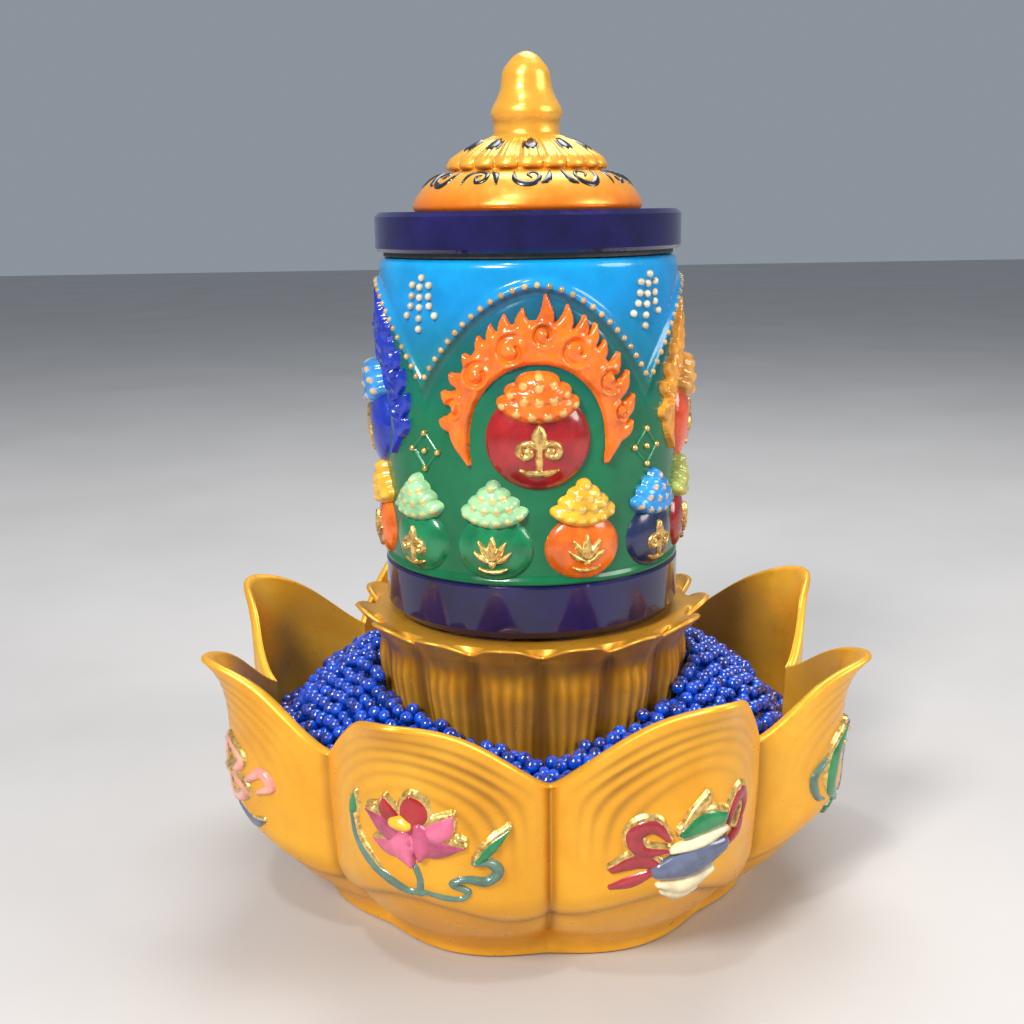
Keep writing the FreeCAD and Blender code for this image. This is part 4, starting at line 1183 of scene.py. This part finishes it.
def bead_level(x, y):
    r = np.hypot(x, y)
    angle = np.arctan2(x, -y)
    aside = np.abs(angle)
    near = np.interp(aside, HEAP_ANGLES, HEAP_NEAR)
    far = np.interp(aside, HEAP_ANGLES, HEAP_FAR)
    level = near + (far - near) * (r - HEAP_NEAR_R) / HEAP_SPAN
    level = level - 0.75 * np.clip(r - HEAP_SHOULDER, 0.0, 7.0)
    edge_r, edge_z = bowl_outer(angle, np.full_like(r, 10.0))
    return np.minimum(level, edge_z - 5.5 + 0.55 * (edge_r - 4.0 - r))


def trough_edges(x, y, z):
    """Distance inside the bowl's wall and outside the pedestal, in mm."""
    r = np.hypot(x, y)
    angle = np.arctan2(x, -y)
    stations = np.linspace(4.0, 10.0, 61)
    radii, heights = bowl_outer(angle[:, None], stations[None, :])
    row = np.arange(len(r))
    above = (heights < z[:, None]).sum(axis=1).clip(0, 60)
    wall = radii[row, above] - WALL_THICK
    core = np.interp(z, PEDESTAL_PROFILE[:, 1], PEDESTAL_PROFILE[:, 0])
    return wall - r, r - core


def glass_beads():
    centres = []
    pitch = 3.75
    for layer, drop in enumerate((0.0, 3.1)):
        xs = np.arange(-84, 84, pitch)
        ys = np.arange(-84, 84, pitch * 0.866)
        gx, gy = np.meshgrid(xs, ys)
        gx = gx + (np.arange(len(ys)) % 2)[:, None] * pitch / 2 + layer * pitch / 2
        gy = gy + layer * pitch * 0.29
        x = (gx + rng.uniform(-0.6, 0.6, gx.shape)).ravel()
        y = (gy + rng.uniform(-0.6, 0.6, gx.shape)).ravel()
        z = bead_level(x, y) - drop - BEAD_R + rng.uniform(-0.9, 1.1, x.shape)
        centres.append(np.stack([x, y, z], axis=1))
    p = np.vstack(centres)
    wall, core = trough_edges(*p.T)
    p = p[(wall > BEAD_R) & (core > BEAD_R * 0.9) & (p[:, 2] > 22)]
    for _ in range(14):
        delta = p[:, None, :] - p[None, :, :]
        gap = np.sqrt((delta ** 2).sum(-1)) + np.eye(len(p)) * 99
        push = np.clip(2 * BEAD_R - gap, 0, None)[..., None] * delta / gap[..., None]
        p = p + 0.35 * push.sum(axis=1) * [1, 1, 0.4]
    wall, core = trough_edges(*p.T)
    p = p[(wall > BEAD_R * 0.8) & (core > BEAD_R * 0.7)]
    sizes = BEAD_R * rng.uniform(0.92, 1.06, len(p))
    obj = ball_cluster("loose_beads", p, sizes, BEAD_GLASS, "base", 10, 16)
    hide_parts("glass_beads")


def bead_bed():
    """Beads too deep to tell apart: one knobbly body filling the trough under the loose ones."""
    segments = 360
    angle = turn_angles(segments)
    rows = []
    deep = 4.6                   # below the top of the loose beads
    for t in np.linspace(0, 1, 26)[:, None]:
        r = 46.0 + 0 * angle
        edge = bowl_outer(angle, 7.5)[0] - 7.0
        r = r + (edge - r) * t
        z = bead_level(r * np.sin(angle), -r * np.cos(angle)) - deep
        rows.append((r, z + 0.5 * np.sin(r * 1.7) * np.sin(angle * 90)))
    for radius in (63.0, 41.0):
        rows.append((radius + 0 * angle, BED_FLOOR + 0 * angle))
    r = np.vstack([row[0] for row in rows])
    z = np.vstack([row[1] for row in rows])
    obj = make_object("bead_bed", polar(r, angle, z).reshape(-1, 3),
                      grid_faces(len(r), segments, closed=True)[:, ::-1], BEAD_GLASS, "base")
    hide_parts("glass_beads")


lotus_bowl()
petal_emblems()
lotus_pedestal()
bead_bed()
glass_beads()


# ---------------------------------------------------------------- table, light, camera
def tabletop():
    bpy.ops.mesh.primitive_plane_add(size=6.0, location=(0, 1.0, 0))
    floor = bpy.context.object
    floor.name = "table"
    paint = Paint("pale_table", roughness=0.55)
    paint.colour(paint.ramp(paint.noise(7.0, 5.0), [(0.3, (0.47, 0.45, 0.44)),
                                                   (0.7, (0.52, 0.50, 0.49))]))
    floor.data.materials.append(paint.material)


def area_light(name, place, aim, size, power, colour):
    data = bpy.data.lights.new(name, "AREA")
    data.shape = "DISK"
    data.size = size
    data.energy = power
    data.color = colour
    lamp = bpy.data.objects.new(name, data)
    lamp.location = place
    lamp.rotation_euler = (Vector(aim) - Vector(place)).to_track_quat("-Z", "Y").to_euler()
    bpy.context.scene.collection.objects.link(lamp)


def studio():
    world = bpy.data.worlds.new("pale_room")
    world.use_nodes = True
    background = world.node_tree.nodes["Background"]
    background.inputs["Color"].default_value = (0.62, 0.70, 0.80, 1.0)
    background.inputs["Strength"].default_value = 0.42
    bpy.context.scene.world = world
    area_light("key", (-0.45, -0.75, 0.75), (0, 0, 0.10), 0.28, 12.0, (1.0, 0.97, 0.92))
    area_light("fill", (0.85, -0.35, 0.55), (0, 0, 0.08), 0.5, 6.0, (1.0, 0.96, 0.90))
    area_light("window", (-0.25, -0.55, 1.15), (0, 0, 0.06), 0.10, 3.0, (1.0, 1.0, 1.0))
    area_light("top", (0.1, 0.35, 0.95), (0, 0, 0.12), 0.6, 6.0, (0.95, 0.98, 1.0))


def camera():
    """Stands 353 mm in front at lid height, looking down 13 degrees."""
    pitch, roll = 0.228, 0.015
    forward = Vector((math.cos(pitch) * 0.0356, math.cos(pitch) * 0.9994, -math.sin(pitch)))
    level = Vector((0.9994, -0.0356, 0.0)).normalized()
    upright = level.cross(forward)
    right = level * math.cos(roll) - upright * math.sin(roll)
    up = upright * math.cos(roll) + level * math.sin(roll)
    matrix = Matrix((right, up, -forward)).transposed().to_4x4()
    matrix.translation = Vector((-17.87, -352.83, 184.0)) * MM
    data = bpy.data.cameras.new("front_view")
    data.lens = 45.7
    data.sensor_width = 36.0
    data.clip_start = 0.01
    data.clip_end = 20.0
    data.dof.use_dof = False
    view = bpy.data.objects.new("front_view", data)
    view.matrix_world = matrix
    bpy.context.scene.collection.objects.link(view)
    bpy.context.scene.camera = view


tabletop()
studio()
camera()
bpy.context.scene.view_settings.view_transform = "Standard"
